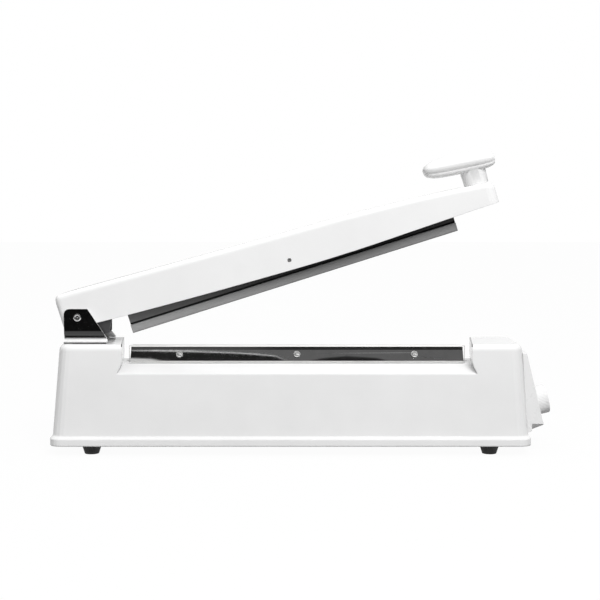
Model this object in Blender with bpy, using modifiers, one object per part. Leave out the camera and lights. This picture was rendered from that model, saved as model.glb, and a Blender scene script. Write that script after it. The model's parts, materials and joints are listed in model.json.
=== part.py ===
"""Tabletop hand impulse sealer with its arm open.

Metres. +Z is up, +X runs towards the timer end, and -Y faces the user. The feet
stand on z = 0. Each moving piece hangs on an empty that lies on its joint's axis.
"""

import math

import bmesh
import bpy
from mathutils import Vector

# Clearances
GAP = 0.0003  # between pieces that touch
SLIDE_GAP = 0.0005  # round pieces that slide or turn
OVERRUN = 0.003  # how far a cutter runs past what it cuts

# Seal bar, its heating strip and cloth
SEAL_LENGTH = 0.2980
BAR_HEIGHT = 0.01255
BAR_FOOT_HALF = 0.0146
BAR_KNEE_HALF = 0.0072
BAR_KNEE_DROP = 0.00265  # from the bar's top down to its knee
BAR_TOP_HALF = 0.0062
TAPE_THICKNESS = 0.0003
TAPE_MARGIN = 0.0012  # from the bar's top edge in to the tape
STRIP_THICKNESS = 0.0002
STRIP_WIDTH = 0.0022
STRIP_OVERHANG = 0.0028
STRIP_TAIL = 0.0058  # of the heating strip, inside its terminal
CLOTH_THICKNESS = 0.00025
CLAMP_THICKNESS = 0.0010
CLAMP_FOOT_HEIGHT = 0.0006  # clamp plate's lower edge above the bar's foot
CLAMP_LIP = 0.0004  # clamp plate's upper edge above the bar's top
CLAMP_SCREW_INSET = 0.0437  # outer clamp screws from the bar's ends
CLAMP_SCREW_DROP = 0.0038  # clamp screws below the bar's knee
CLAMP_SCREW_DEPTH = 0.0055
BAR_SCREW_INSET = 0.0290  # bar screws from the bar's ends
TERMINAL_LENGTH = 0.0080
TERMINAL_WIDTH = 0.0090
TERMINAL_HEIGHT = 0.0100

# Screws
SCREW_RADIUS = 0.0016
SCREW_HEAD_RADIUS = 0.0031
SCREW_HEAD_HEIGHT = 0.0019
SCREW_GRIP = 0.0090  # thread length in what a screw holds
SLOT_WIDTH = 0.0010  # cross recess in a screw head

# Arm cover, in the arm's own frame from the pivot
ARM_HALF = 0.0182
ARM_BACK = 0.0160
ARM_NOSE_RUN = 0.0445  # past the seal bar's right end
ARM_WALL = 0.0020
ARM_FILLET = 0.0043
ARM_NOSE = 0.0095
ARM_TAIL = 0.0060
ARM_TOP = 0.0240  # top of the cover over the pivot
ARM_FOOT = 0.0088  # its lower edge under the pivot
COVER_TOP_SHARES = (
    (0.0, 1.0),
    (0.26, 0.883),
    (0.52, 0.775),
    (0.64, 0.740),
    (0.78, 0.640),
    (0.88, 0.540),
    (0.95, 0.430),
    (1.0, 0.345),
)
COVER_FOOT_SHARES = ((0.0, 1.0), (0.11, 1.25), (0.36, 1.57), (0.62, 1.69), (0.88, 1.32), (1.0, 1.17))

# Steel channel inside the cover
CHANNEL_WALL = 0.0012
CHANNEL_DROP = 0.0015  # below the cover's underside
CHANNEL_END = 0.0122  # short of the cover's nose
CHANNEL_FOOT = 0.0062
CHANNEL_BACK = 0.0100
LUG_DEPTH = 0.0175
LUG_REACH = 0.0249
LUG_WAIST = 0.0020  # its front corner above its lower edge
LUG_SLANT = 0.0057  # how much further the lug reaches at its top
LUG_HEEL = 0.0054  # cut off its lower corner at the back
LUG_TOE = 0.0038  # how far its front reaches down past the rest
LUG_TOE_LENGTH = 0.0080
LUG_TOE_SLANT = 0.0024
LUG_SHORT = 0.0060  # how much sooner the back wall's lug ends
NOSE_X = 0.0135
NOSE_RADIUS = 0.0025
NOSE_EDGE = 0.0005  # its underside above the lug's lower edge

# Pressure bar that rocks on a cross pin
ROCK_DEPTH = 0.0060
ROCK_ANGLE = math.radians(0.71)
ROCK_PIN_RADIUS = 0.0015
HOLDER_OVERHANG = 0.0035  # past the seal bar at each end
HOLDER_SHIFT = 0.0013  # towards the hinge
HOLDER_HALF = 0.0060
HOLDER_RISE = 0.0045
HOLDER_BOSS_WALL = 0.0018
SILICONE_HALF = 0.0084
SILICONE_HEIGHT = 0.0079
SILICONE_ROUND = 0.0016
RIB_HALF = 0.0022
RIB_HEIGHT = 0.0036

# Hinge ears and pin
PIVOT_RISE = 0.0228  # above the housing's top
OPEN_ANGLE = math.radians(16.83)
EAR_CLEARANCE = 0.0008  # from the arm's side
EAR_THICKNESS = 0.0015
EAR_BEND = 0.0065
EAR_FLANGE = 0.0011  # flat run past the bend
EAR_BACK = 0.0121  # left edge from the pivot
EAR_RISE = 0.0075  # top edge above the pivot
EAR_TOP_FRONT = 0.0088  # where the slanted edge starts, from the pivot
EAR_FOOT_FRONT = 0.0268
EAR_SHOULDER = 0.0010  # height of the slanted edge's end above the flange
EAR_CORNER = 0.0048
EAR_TAPER = 0.0010  # its left edge comes in over the bend
STUD_INSET = 0.0022  # from the middle of the bend
STUD_RADIUS = 0.0015
STUD_LENGTH = 0.0078
STUD_BACK = 0.0100  # left studs from the flange's left end
STUD_FRONT = 0.0070  # right studs from its right end
NUT_WALL = 0.0016
NUT_HEIGHT = 0.0024
PIN_RADIUS = 0.0025
PIN_HEAD_RADIUS = 0.0033
PIN_HEAD_HEIGHT = 0.0018
PIN_CHAMFER = 0.0005
PIN_SOCKET_RADIUS = 0.0017
PIN_SOCKET_DEPTH = 0.0013
PIN_NUT_WALL = 0.0022
BUSH_WALL = 0.0013

# Base housing
BASE_TOP = 0.0976
LEFT_BLOCK = 0.0609  # from the rim's left end to the recess
RIGHT_BLOCK = 0.0497
RIM_CORNER = 0.011
RIM_HEIGHT = 0.0060
RIM_SLOPE_HEIGHT = 0.0027
RIM_STEP = 0.0021
LEFT_LEAN = 0.0061  # how far each wall comes in from the rim to the top
RIGHT_LEAN = 0.0058
SIDE_LEAN = 0.0068
TOP_FILLET = 0.0052
FLANGE_MARGIN = 0.0003  # flat top outside the ears' flanges
WALL = 0.0025
BOSS_RADIUS = 0.0045
PIVOT_INSET = 0.0235  # from the rim's left end

# Recess round the seal bar
RECESS_PLAY = 0.0083  # past the seal bar at each end
RECESS_SPREAD = 0.0031  # how much longer its back is, at each end
RECESS_DEPTH = 0.0186
RAMP_DROP = 0.0071  # from the recess's floor to where the ramp leaves the wall
SEAT_MARGIN = 0.0039  # flat floor outside the bar's foot
SWEEP_REACH = 0.0049  # how far each ramp's end sweeps out at the wall
SWEEP_HEIGHT = 0.0120
SWEEP_START_SHARE = 0.05  # what is left of the sweep beside the seat
SWEEP_CURVE = ((1.0, 0.0), (0.45, 0.43), (0.12, 0.84), (0.0, 1.0))

# Feet and bottom plate
FOOT_HEIGHT = 0.0087
FOOT_TOP_RADIUS = 0.0090
FOOT_TREAD_RADIUS = 0.0063
FOOT_END_INSET = 0.0360
FOOT_SIDE_INSET = 0.0155
FOOT_BORE_DEPTH = 0.0042
FOOT_BORE_WALL = 0.0023
PLATE_THICKNESS = 0.0015

# Handle
POST_INSET = 0.0136  # from the cover's nose
POST_TOP_RADIUS = 0.0116
POST_FOOT_RADIUS = 0.0109
GRIP_LEAD = 0.0103  # from the post towards the hinge
GRIP_RISE = 0.0221  # the grip's middle above the cover
GRIP_LENGTH = 0.0638
GRIP_WIDTH = 0.0300
GRIP_DEPTH = 0.0180
GRIP_SLOPE = math.radians(-6.0)
GRIP_END_SHARE = 0.92  # the cage's end sections, of its width
GRIP_SWELL_SHARE = 0.22  # what its middle gains
GRIP_CAGE_SHARE = 1.06  # the cage over the soft form inside it
GRIP_CAGE_CUTS = 3
HANDLE_SCREW_RADIUS = 0.0022
HANDLE_SCREW_HEAD = 0.0040

# Return plunger and switch
PLUNGER_OFFSET = 0.0153  # from the pivot
PLUNGER_PLAY = 0.0004  # under the channel's nose, with the arm open
PLUNGER_RADIUS = 0.0040
PLUNGER_CHAMFER = 0.0009
PLUNGER_ROD = 0.0023
PLUNGER_TAIL = 0.0040  # below the bracket's top
COLLAR_RADIUS = 0.0064
COLLAR_HEIGHT = 0.0018
SPRING_WIRE = 0.0006
SPRING_TURNS = 8
SPRING_POINTS = 8  # to a turn
SPRING_PLAY = 0.0016  # between the rod and the coil
SPRING_LENGTH = 0.0284
BRACKET_HALF = 0.0080
BRACKET_LEG = 0.0090
BRACKET_THICKNESS = 0.0015
SWITCH_LENGTH = 0.0180
SWITCH_WIDTH = 0.0064
SWITCH_HEIGHT = 0.0150
BUTTON_RADIUS = 0.0013
BUTTON_GUIDE = 0.0020  # how deep the button sits in the switch at rest

# Timer panel on the right end
PANEL_HALF = 0.0240
PANEL_DROP = 0.0085  # from the housing's top to the panel's
PANEL_TOP_OUT = 0.0043  # out from the end wall
PANEL_FOOT_RISE = 0.0073  # lower end of the panel's face above the rim
PANEL_FACE_RUN = 0.0159  # how far the face leans out on its way down
PANEL_CHIN_RISE = 0.0004
PANEL_CHIN_RUN = 0.0132
PANEL_WALL = 0.0020
PANEL_FLOOR_RISE = 0.0011  # its room's floor above the lower end of its face
TOE_RISE = 0.0009  # its lower corners are cut back from above that end
TOE_DEPTH = 0.0075
TOE_LENGTH = 0.0105
PANEL_ROUND = 0.0022
KNOB_HEIGHT_SHARE = 0.275  # up the panel's face
KNOB_RADIUS = 0.0130
KNOB_LENGTH = 0.0113
KNOB_LIFT = 0.0006
KNOB_WALL = 0.0016
KNOB_ROUND = 0.0012
KNOB_FLUTES = 24
KNOB_FLUTE_RADIUS = 0.0008
SHAFT_RADIUS = 0.0030
POT_RADIUS = 0.0080
POT_DEPTH = 0.0090
POT_NECK_WALL = 0.0012
POT_NUT_WALL = 0.0018
POT_NUT_HEIGHT = 0.0020
BOARD_MARGIN = 0.0020  # inside the window's sides
BOARD_HEIGHT = 0.0240
BOARD_THICKNESS = 0.0016
WINDOW_MARGIN = 0.0050  # inside the panel's sides
WINDOW_FOOT_MARGIN = 0.0032
WINDOW_TOP_MARGIN = 0.0091
LAMP_RADIUS = 0.0030
LAMP_LENGTH = 0.0080
LAMP_RISE = 0.0004
LAMP_SHARE = 0.76

# Transformer and cord inlet
CORE_OFFSET = 0.0544  # from the middle of the seal bar
CORE_LENGTH = 0.0660
CORE_HEADROOM = 0.0120  # under the recess
CORE_DEPTH = 0.0300
CORE_LIMB = 0.0100
COIL_PLAY = 0.0005
COIL_BULGE = 0.0090
INLET_INSET = 0.0626  # from the rim's right end
INLET_RISE = 0.0106  # above the rim
INLET_FLANGE = 0.0023  # how far its flanges stand out from its neck
INLET_NECK = 0.0062
INLET_BORE = 0.0036
INLET_THICKNESS = 0.0018

ROUND_SIDES = 32
SMALL_SIDES = 16
SCREW_SIDES = 12
CORNER_STEPS = 5
INNER_STEPS = 3
COVER_STEPS = 12
POST_STEPS = 8
SMOOTH_ANGLE = math.radians(32)

# Places along the seal, from the middle of the base
BASE_LENGTH = LEFT_BLOCK + RIGHT_BLOCK + SEAL_LENGTH + 2 * RECESS_PLAY
BASE_HALF = BASE_LENGTH / 2
SEAL_X = LEFT_BLOCK + RECESS_PLAY + SEAL_LENGTH / 2 - BASE_HALF
PIVOT_X = PIVOT_INSET - BASE_HALF
FOOT_X = BASE_HALF - FOOT_END_INSET
INLET_X = BASE_HALF - INLET_INSET
CORE_X = SEAL_X + CORE_OFFSET
PLUNGER_X = PIVOT_X + PLUNGER_OFFSET

# Places along the arm, from the pivot
ROCK_X = SEAL_X - PIVOT_X
ARM_REACH = ROCK_X + SEAL_LENGTH / 2 + ARM_NOSE_RUN
CHANNEL_REACH = ARM_REACH - CHANNEL_END
POST_X = ARM_REACH - POST_INSET
GRIP_X = POST_X - GRIP_LEAD
HOLDER_LENGTH = SEAL_LENGTH + 2 * HOLDER_OVERHANG
NOSE_DEPTH = LUG_DEPTH - NOSE_EDGE - NOSE_RADIUS

# Half widths
EAR_FACE = ARM_HALF + EAR_CLEARANCE + EAR_THICKNESS
BASE_WIDTH = 2 * (EAR_FACE + EAR_BEND + EAR_FLANGE + FLANGE_MARGIN + TOP_FILLET + SIDE_LEAN + RIM_STEP)
STUD_Y = EAR_FACE + EAR_BEND - STUD_INSET
FOOT_Y = BASE_WIDTH / 2 - FOOT_SIDE_INSET
SEAT_HALF = BAR_FOOT_HALF + SEAT_MARGIN
ARM_INNER = ARM_HALF - ARM_WALL
CHANNEL_HALF = ARM_INNER - SLIDE_GAP
WINDOW_HALF = PANEL_HALF - WINDOW_MARGIN
BOARD_HALF = WINDOW_HALF - BOARD_MARGIN

# Radii
FOOT_BORE_RADIUS = FOOT_TREAD_RADIUS - FOOT_BORE_WALL
NUT_RADIUS = STUD_RADIUS + NUT_WALL
SPRING_RADIUS = PLUNGER_ROD + SPRING_PLAY + SPRING_WIRE
POT_NECK_RADIUS = SHAFT_RADIUS + POT_NECK_WALL
INLET_RADIUS = INLET_NECK + INLET_FLANGE

# Heights
FACE_FOOT = FOOT_HEIGHT + RIM_HEIGHT + RIM_SLOPE_HEIGHT
PLATE_TOP = FOOT_HEIGHT + PLATE_THICKNESS
CEILING = BASE_TOP - WALL
RECESS_FLOOR = BASE_TOP - RECESS_DEPTH
RAMP_FOOT = RECESS_FLOOR - RAMP_DROP
BAR_FOOT = RECESS_FLOOR + GAP
BAR_KNEE_HEIGHT = BAR_HEIGHT - BAR_KNEE_DROP
CLOTH_REST = BAR_HEIGHT + TAPE_THICKNESS + STRIP_THICKNESS + 2 * GAP
CLOTH_TOP = BAR_FOOT + CLOTH_REST + GAP + CLOTH_THICKNESS
CLAMP_OFFSET = 2 * GAP + CLOTH_THICKNESS
FLANGE_TOP = BASE_TOP + GAP + EAR_THICKNESS
PIVOT_Z = BASE_TOP + PIVOT_RISE
HOLDER_DROP = PIVOT_Z - ROCK_DEPTH - CLOTH_TOP - GAP - SILICONE_HEIGHT
PANEL_TOP = BASE_TOP - PANEL_DROP
PANEL_CHIN = FACE_FOOT + PANEL_CHIN_RISE
PANEL_FOOT = FACE_FOOT + PANEL_FOOT_RISE
WINDOW_FOOT = PANEL_FOOT + WINDOW_FOOT_MARGIN
WINDOW_TOP = PANEL_TOP - WINDOW_TOP_MARGIN
INLET_Z = FACE_FOOT + INLET_RISE
COLLAR_FOOT = CEILING - GAP - COLLAR_HEIGHT
BRACKET_TOP = COLLAR_FOOT - 2 * GAP - SPRING_LENGTH
PLUNGER_FOOT = BRACKET_TOP - PLUNGER_TAIL
NOSE_FOOT = PIVOT_Z + NOSE_X * math.sin(OPEN_ANGLE) - NOSE_DEPTH * math.cos(OPEN_ANGLE) - NOSE_RADIUS
PLUNGER_TOP = NOSE_FOOT - PLUNGER_PLAY

LOOKS = {
    "white_plastic": ((0.86, 0.86, 0.85, 1.0), 0.35, 0.0),
    "black_rubber": ((0.02, 0.02, 0.02, 1.0), 0.8, 0.0),
    "chrome": ((0.62, 0.62, 0.64, 1.0), 0.08, 1.0),
    "steel": ((0.62, 0.62, 0.63, 1.0), 0.3, 1.0),
    "aluminium": ((0.72, 0.72, 0.73, 1.0), 0.4, 1.0),
    "dark_aluminium": ((0.07, 0.07, 0.08, 1.0), 0.4, 1.0),
    "silicone": ((0.36, 0.36, 0.37, 1.0), 0.55, 0.0),
    "cloth": ((0.55, 0.50, 0.42, 1.0), 0.4, 0.0),
    "glass_tape": ((0.80, 0.78, 0.70, 1.0), 0.8, 0.0),
    "brass": ((0.78, 0.58, 0.24, 1.0), 0.3, 1.0),
    "coil_tape": ((0.75, 0.62, 0.12, 1.0), 0.5, 0.0),
    "iron": ((0.20, 0.20, 0.21, 1.0), 0.5, 1.0),
    "black_plastic": ((0.03, 0.03, 0.03, 1.0), 0.4, 0.0),
    "green_board": ((0.02, 0.20, 0.08, 1.0), 0.5, 0.0),
    "red_lens": ((0.60, 0.02, 0.02, 1.0), 0.1, 0.0),
}


def clear_scene():
    for obj in list(bpy.data.objects):
        bpy.data.objects.remove(obj, do_unlink=True)


def collection(name):
    made = bpy.data.collections.new(name)
    bpy.context.scene.collection.children.link(made)
    return made


def look(name):
    """The material of this name, made the first time that it is asked for."""
    known = bpy.data.materials.get(name)
    if known:
        return known
    made = bpy.data.materials.new(name)
    made.use_nodes = True
    shader = made.node_tree.nodes["Principled BSDF"]
    colour, roughness, metallic = LOOKS[name]
    shader.inputs["Base Color"].default_value = colour
    shader.inputs["Roughness"].default_value = roughness
    shader.inputs["Metallic"].default_value = metallic
    return made


def empty(name, location, rotation=(0, 0, 0), parent=None):
    made = bpy.data.objects.new(name, None)
    PARTS.objects.link(made)
    made.location = location
    made.rotation_euler = rotation
    made.parent = parent
    return made


def placed(name, mesh, surface, parent, location=(0, 0, 0), rotation=(0, 0, 0)):
    """A visible piece, or a hidden helper when surface is None."""
    made = bpy.data.objects.new(name, mesh)
    made.location = location
    made.rotation_euler = rotation
    made.parent = parent
    if surface:
        PARTS.objects.link(made)
        mesh.materials.append(look(surface))
    else:
        CUTTERS.objects.link(made)
        made.hide_render = True
        made.display_type = "WIRE"
    return made


def mesh_of(bm, name):
    bmesh.ops.recalc_face_normals(bm, faces=bm.faces)
    mesh = bpy.data.meshes.new(name)
    bm.to_mesh(mesh)
    bm.free()
    return mesh


def finish():
    """Every piece with its modifiers worked in, smooth but for the edges between its faces."""
    graph = bpy.context.evaluated_depsgraph_get()
    meshes = {}
    for obj in PARTS.objects:
        if obj.type == "MESH":
            meshes[obj] = bpy.data.meshes.new_from_object(obj.evaluated_get(graph))
    for obj, mesh in meshes.items():
        obj.modifiers.clear()
        obj.data = mesh
        mesh.shade_smooth()
        mesh.set_sharp_from_angle(angle=SMOOTH_ANGLE)


def block(name, low, high, surface, parent):
    """A box between two corners, its origin in its middle."""
    low, high = Vector(low), Vector(high)
    bm = bmesh.new()
    bmesh.ops.create_cube(bm, size=1)
    bmesh.ops.scale(bm, vec=high - low, verts=bm.verts)
    return placed(name, mesh_of(bm, name), surface, parent, (low + high) / 2)


def rod(name, start, end, radius, surface, parent, sides=SMALL_SIDES, end_radius=None):
    """A cylinder or cone between two points."""
    start, end = Vector(start), Vector(end)
    run = end - start
    bm = bmesh.new()
    bmesh.ops.create_cone(
        bm,
        cap_ends=True,
        segments=sides,
        radius1=radius,
        radius2=radius if end_radius is None else end_radius,
        depth=run.length,
    )
    turn = run.to_track_quat("Z", "Y").to_euler()
    return placed(name, mesh_of(bm, name), surface, parent, (start + end) / 2, turn)


def turned(name, profile, surface, parent, location=(0, 0, 0), rotation=(0, 0, 0), sides=SMALL_SIDES):
    """A profile of (radius, height) points, top first, turned about its own Z axis."""
    closed = all(radius > 0 for radius, _ in profile)
    mesh = bpy.data.meshes.new(name)
    count = len(profile)
    edges = [(i, i + 1) for i in range(count - 1)] + ([(count - 1, 0)] if closed else [])
    mesh.from_pydata([(radius, 0, height) for radius, height in profile], edges, [])
    made = placed(name, mesh, surface, parent, location, rotation)
    screw = made.modifiers.new("turn", "SCREW")
    screw.axis = "Z"
    screw.steps = sides
    screw.render_steps = sides
    screw.use_merge_vertices = True
    screw.merge_threshold = GAP / 10
    return made


def prism(name, outline, start, end, axis, surface, parent):
    """A flat outline drawn out along an axis: (y, z) along X, (x, z) along Y, (x, y) along Z."""
    curve = bpy.data.curves.new(name, "CURVE")
    curve.dimensions = "2D"
    curve.fill_mode = "BOTH"
    curve.extrude = (end - start) / 2
    spline = curve.splines.new("POLY")
    spline.points.add(len(outline) - 1)
    for point, (a, b) in zip(spline.points, outline):
        point.co = (a, b, 0, 1)
    spline.use_cyclic_u = True
    drawn = bpy.data.objects.new(name + "_outline", curve)
    PARTS.objects.link(drawn)
    graph = bpy.context.evaluated_depsgraph_get()
    mesh = bpy.data.meshes.new_from_object(drawn.evaluated_get(graph))
    bpy.data.objects.remove(drawn)
    middle = (start + end) / 2
    turn, place = {
        "X": ((math.pi / 2, 0, math.pi / 2), (middle, 0, 0)),
        "Y": ((math.pi / 2, 0, 0), (0, middle, 0)),
        "Z": ((0, 0, 0), (0, 0, middle)),
    }[axis]
    bm = bmesh.new()
    bm.from_mesh(mesh)
    bmesh.ops.remove_doubles(bm, verts=bm.verts, dist=GAP / 100)
    return placed(name, mesh_of(bm, name), surface, parent, place, turn)


def loft(name, rings, surface, parent):
    """A closed body through rings that have equally many points."""
    bm = bmesh.new()
    rows = [[bm.verts.new(point) for point in ring] for ring in rings]
    for low, high in zip(rows, rows[1:]):
        for i in range(len(low)):
            j = (i + 1) % len(low)
            bm.faces.new((low[i], low[j], high[j], high[i]))
    bm.faces.new(rows[0])
    bm.faces.new(rows[-1])
    return placed(name, mesh_of(bm, name), surface, parent)


def boolean(target, other, operation):
    modifier = target.modifiers.new(other.name, "BOOLEAN")
    modifier.object = other
    modifier.operation = operation


def cut(target, *cutters):
    for cutter in cutters:
        boolean(target, cutter, "DIFFERENCE")


def join(target, *others):
    for other in others:
        boolean(target, other, "UNION")


def bevel(target, width, segments=2, angle=math.radians(40)):
    modifier = target.modifiers.new("rounding", "BEVEL")
    modifier.width = width
    modifier.segments = segments
    modifier.limit_method = "ANGLE"
    modifier.angle_limit = angle
    modifier.use_clamp_overlap = True


def arc(centre, radius, start, end, steps):
    """Points of an arc, its angles in quarter turns."""
    points = []
    for i in range(steps + 1):
        angle = (start + (end - start) * i / steps) * math.pi / 2
        points.append((centre[0] + radius * math.cos(angle), centre[1] + radius * math.sin(angle)))
    return points


def rounded_rectangle(left, right, half, radius, steps=CORNER_STEPS):
    corners = (
        ((right - radius, half - radius), 0),
        ((left + radius, half - radius), 1),
        ((left + radius, radius - half), 2),
        ((right - radius, radius - half), 3),
    )
    return [point for centre, start in corners for point in arc(centre, radius, start, start + 1, steps)]


def offset_path(points, distance):
    """A path moved sideways, to the left of its run, with mitred corners."""
    normals = []
    for (ax, ay), (bx, by) in zip(points, points[1:]):
        run = Vector((bx - ax, by - ay)).normalized()
        normals.append(Vector((-run.y, run.x)))
    moved = []
    for i, point in enumerate(points):
        first, last = normals[max(i - 1, 0)], normals[min(i, len(normals) - 1)]
        mitre = (first + last).normalized()
        moved.append(tuple(Vector(point) + mitre * (distance / mitre.dot(first))))
    return moved


def mirrored(points):
    """The same points on the other side of the middle, in reverse order."""
    return [(-a, b) for a, b in reversed(points)]


def between(table, share):
    """A value read off a curve drawn smoothly through a table of (place, value) shares."""
    share = min(max(share, table[0][0]), table[-1][0])
    i = max(k for k in range(len(table) - 1) if table[k][0] <= share)
    (a, low), (b, high) = table[i], table[i + 1]
    before, after = table[max(i - 1, 0)], table[min(i + 2, len(table) - 1)]
    run = b - a
    rise_in = (high - before[1]) / (b - before[0]) * run
    rise_out = (after[1] - low) / (after[0] - a) * run
    t = (share - a) / run
    ease = t * t * (3 - 2 * t)
    return low + (high - low) * ease + t * (1 - t) * ((1 - t) * rise_in - t * rise_out)


def base_wall(height):
    """Where the housing's left, right and long walls stand at a height."""
    share = max(0.0, (height - FACE_FOOT) / (BASE_TOP - FACE_FOOT))
    return (
        RIM_STEP - BASE_HALF + LEFT_LEAN * share,
        BASE_HALF - RIM_STEP - RIGHT_LEAN * share,
        BASE_WIDTH / 2 - RIM_STEP - SIDE_LEAN * share,
    )


def wall_ring(height, inset, corner, steps):
    left, right, half = base_wall(height)
    outline = rounded_rectangle(left + inset, right - inset, half - inset, corner, steps)
    return [(x, y, height) for x, y in outline]


def wall_rings(inset, steps):
    """Rings up the housing's walls and over their rounded top edge."""
    corner = RIM_CORNER - inset
    rings = [wall_ring(FACE_FOOT, inset, corner, steps)]
    radius = TOP_FILLET - inset
    for run, rise in arc((0, 0), radius, 0, 1, steps):
        shrink = radius - run
        height = BASE_TOP - inset - radius + rise
        rings.append(wall_ring(height, inset + shrink, corner - shrink, steps))
    return rings


def housing_skin():
    rim = rounded_rectangle(-BASE_HALF, BASE_HALF, BASE_WIDTH / 2, RIM_CORNER)
    foot = [[(x, y, z) for x, y in rim] for z in (FOOT_HEIGHT, FOOT_HEIGHT + RIM_HEIGHT)]
    return foot + wall_rings(0, CORNER_STEPS)


def housing_hollow():
    rings = wall_rings(WALL, INNER_STEPS)
    return [[(x, y, -OVERRUN) for x, y, _ in rings[0]]] + rings


def recess_end(end, y):
    """Where one end of the recess stands at a distance from the middle; it spreads towards the back."""
    flat_half = base_wall(BASE_TOP)[2] - TOP_FILLET
    return SEAL_X + end * (SEAL_LENGTH / 2 + RECESS_PLAY + RECESS_SPREAD * y / flat_half)


def recess_ring(y, inset):
    """The recess's outline at a distance from the middle. Its lower corners sweep out along the ramps."""
    ramp_run = base_wall(RAMP_FOOT)[2] - SEAT_HALF
    share = (abs(y) - SEAT_HALF - inset) / ramp_run
    low = RECESS_FLOOR - inset - RAMP_DROP * share
    share = max(share, SWEEP_START_SHARE)
    ring = []
    for end in (1, -1):
        wall = recess_end(end, y) + end * inset
        reach, rise = end * SWEEP_REACH * share, SWEEP_HEIGHT * share
        side = [(wall + reach * out, low + rise * up) for out, up in SWEEP_CURVE]
        side.append((wall, BASE_TOP + OVERRUN))
        ring += side[::end]
    return [(x, y, z) for x, z in ring]


def recess(inset):
    """The space over the seal bar's seat and the ramps on both sides of it."""
    edge = BASE_WIDTH / 2 + OVERRUN
    seat = SEAT_HALF + inset
    rings = [recess_ring(y, inset) for y in (-edge, -seat, seat, edge)]
    return loft("recess_room" if inset else "recess", rings, None, ROOT)


def foot_places():
    for x_name, x in (("left", -FOOT_X), ("right", FOOT_X)):
        for y_name, y in (("front", -FOOT_Y), ("back", FOOT_Y)):
            yield f"{y_name}_{x_name}", x, y


def ear_stud_places():
    back = PIVOT_X - EAR_BACK + STUD_BACK
    front = PIVOT_X + EAR_FOOT_FRONT - STUD_FRONT
    for y_name, side in (("front", -1), ("back", 1)):
        for x_name, x in (("left", back), ("right", front)):
            yield f"{y_name}_{x_name}", x, side * STUD_Y


def panel_face():
    """The lower end of the panel's outer face, its upper end and its outward direction."""
    top_x = base_wall(PANEL_TOP)[1] + PANEL_TOP_OUT
    low = Vector((top_x + PANEL_FACE_RUN, 0, PANEL_FOOT))
    high = Vector((top_x, 0, PANEL_TOP))
    rise = (high - low).normalized()
    return low, high, Vector((rise.z, 0, -rise.x))


def base_housing():
    shell = loft("base_housing", housing_skin(), "white_plastic", ROOT)
    hollow = loft("hollow", housing_hollow(), None, ROOT)
    cut(hollow, recess(WALL))
    cut(shell, hollow)
    for name, x, y in foot_places():
        boss = (x, y, PLATE_TOP + GAP), (x, y, CEILING + WALL / 2)
        bore = (x, y, FOOT_HEIGHT), (x, y, PLATE_TOP + SCREW_GRIP + OVERRUN)
        join(shell, rod("boss_" + name, *boss, BOSS_RADIUS, None, ROOT))
        cut(shell, rod("boss_bore_" + name, *bore, SCREW_RADIUS + GAP, None, ROOT))
    cut(shell, recess(0))
    cut(shell, *housing_holes())
    return shell


def housing_holes():
    """Holes for the plunger, the ears' studs, the bar's screws, the strip, the timer and the cord."""
    low, high = CEILING - OVERRUN, BASE_TOP + OVERRUN
    bore = (PLUNGER_X, 0, low), (PLUNGER_X, 0, high)
    yield rod("plunger_hole", *bore, PLUNGER_RADIUS + SLIDE_GAP, None, ROOT, 20)
    for name, x, y in ear_stud_places():
        yield rod("stud_hole_" + name, (x, y, low), (x, y, high), STUD_RADIUS + GAP, None, ROOT)
    floor_low, floor_high = RECESS_FLOOR - WALL - OVERRUN, RECESS_FLOOR + OVERRUN
    for side in (-1, 1):
        x = SEAL_X + side * (SEAL_LENGTH / 2 - BAR_SCREW_INSET)
        yield rod(f"bar_hole_{side}", (x, 0, floor_low), (x, 0, floor_high), SCREW_RADIUS + GAP, None, ROOT)
        x = SEAL_X + side * (SEAL_LENGTH / 2 + STRIP_OVERHANG)
        yield block(
            f"strip_hole_{side}",
            (x - STRIP_WIDTH, -STRIP_WIDTH, floor_low),
            (x + STRIP_WIDTH, STRIP_WIDTH, floor_high),
            None,
            ROOT,
        )
    right = base_wall(WINDOW_FOOT)[1]
    yield block(
        "timer_window",
        (right - RIGHT_LEAN - WALL - OVERRUN, -WINDOW_HALF, WINDOW_FOOT),
        (right + OVERRUN, WINDOW_HALF, WINDOW_TOP),
        None,
        ROOT,
    )
    wall_y = base_wall(INLET_Z)[2]
    bore = (INLET_X, wall_y - WALL - OVERRUN, INLET_Z), (INLET_X, wall_y + OVERRUN, INLET_Z)
    yield rod("inlet_hole", *bore, INLET_NECK + GAP, None, ROOT, 24)


def bottom_plate():
    left, right, half = base_wall(FACE_FOOT)
    clear = WALL + GAP
    outline = rounded_rectangle(left + clear, right - clear, half - clear, RIM_CORNER - clear)
    plate = prism("bottom_plate", outline, FOOT_HEIGHT, PLATE_TOP, "Z", "steel", ROOT)
    for name, x, y in foot_places():
        hole = (x, y, 0), (x, y, PLATE_TOP + OVERRUN)
        cut(plate, rod("plate_hole_" + name, *hole, SCREW_RADIUS + GAP, None, ROOT))


def feet():
    top = FOOT_HEIGHT - GAP
    shank = SCREW_RADIUS + GAP
    profile = (
        (FOOT_TOP_RADIUS, top),
        (FOOT_TREAD_RADIUS, 0),
        (FOOT_BORE_RADIUS, 0),
        (FOOT_BORE_RADIUS, FOOT_BORE_DEPTH),
        (shank, FOOT_BORE_DEPTH),
        (shank, top),
    )
    head_top = FOOT_BORE_DEPTH - GAP
    length = PLATE_TOP + SCREW_GRIP - head_top
    for name, x, y in foot_places():
        turned("foot_" + name, profile, "black_rubber", ROOT, (x, y, 0), sides=24)
        pan_screw("foot_screw_" + name, (x, y, head_top), (0, 0, 1), length, ROOT)


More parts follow.
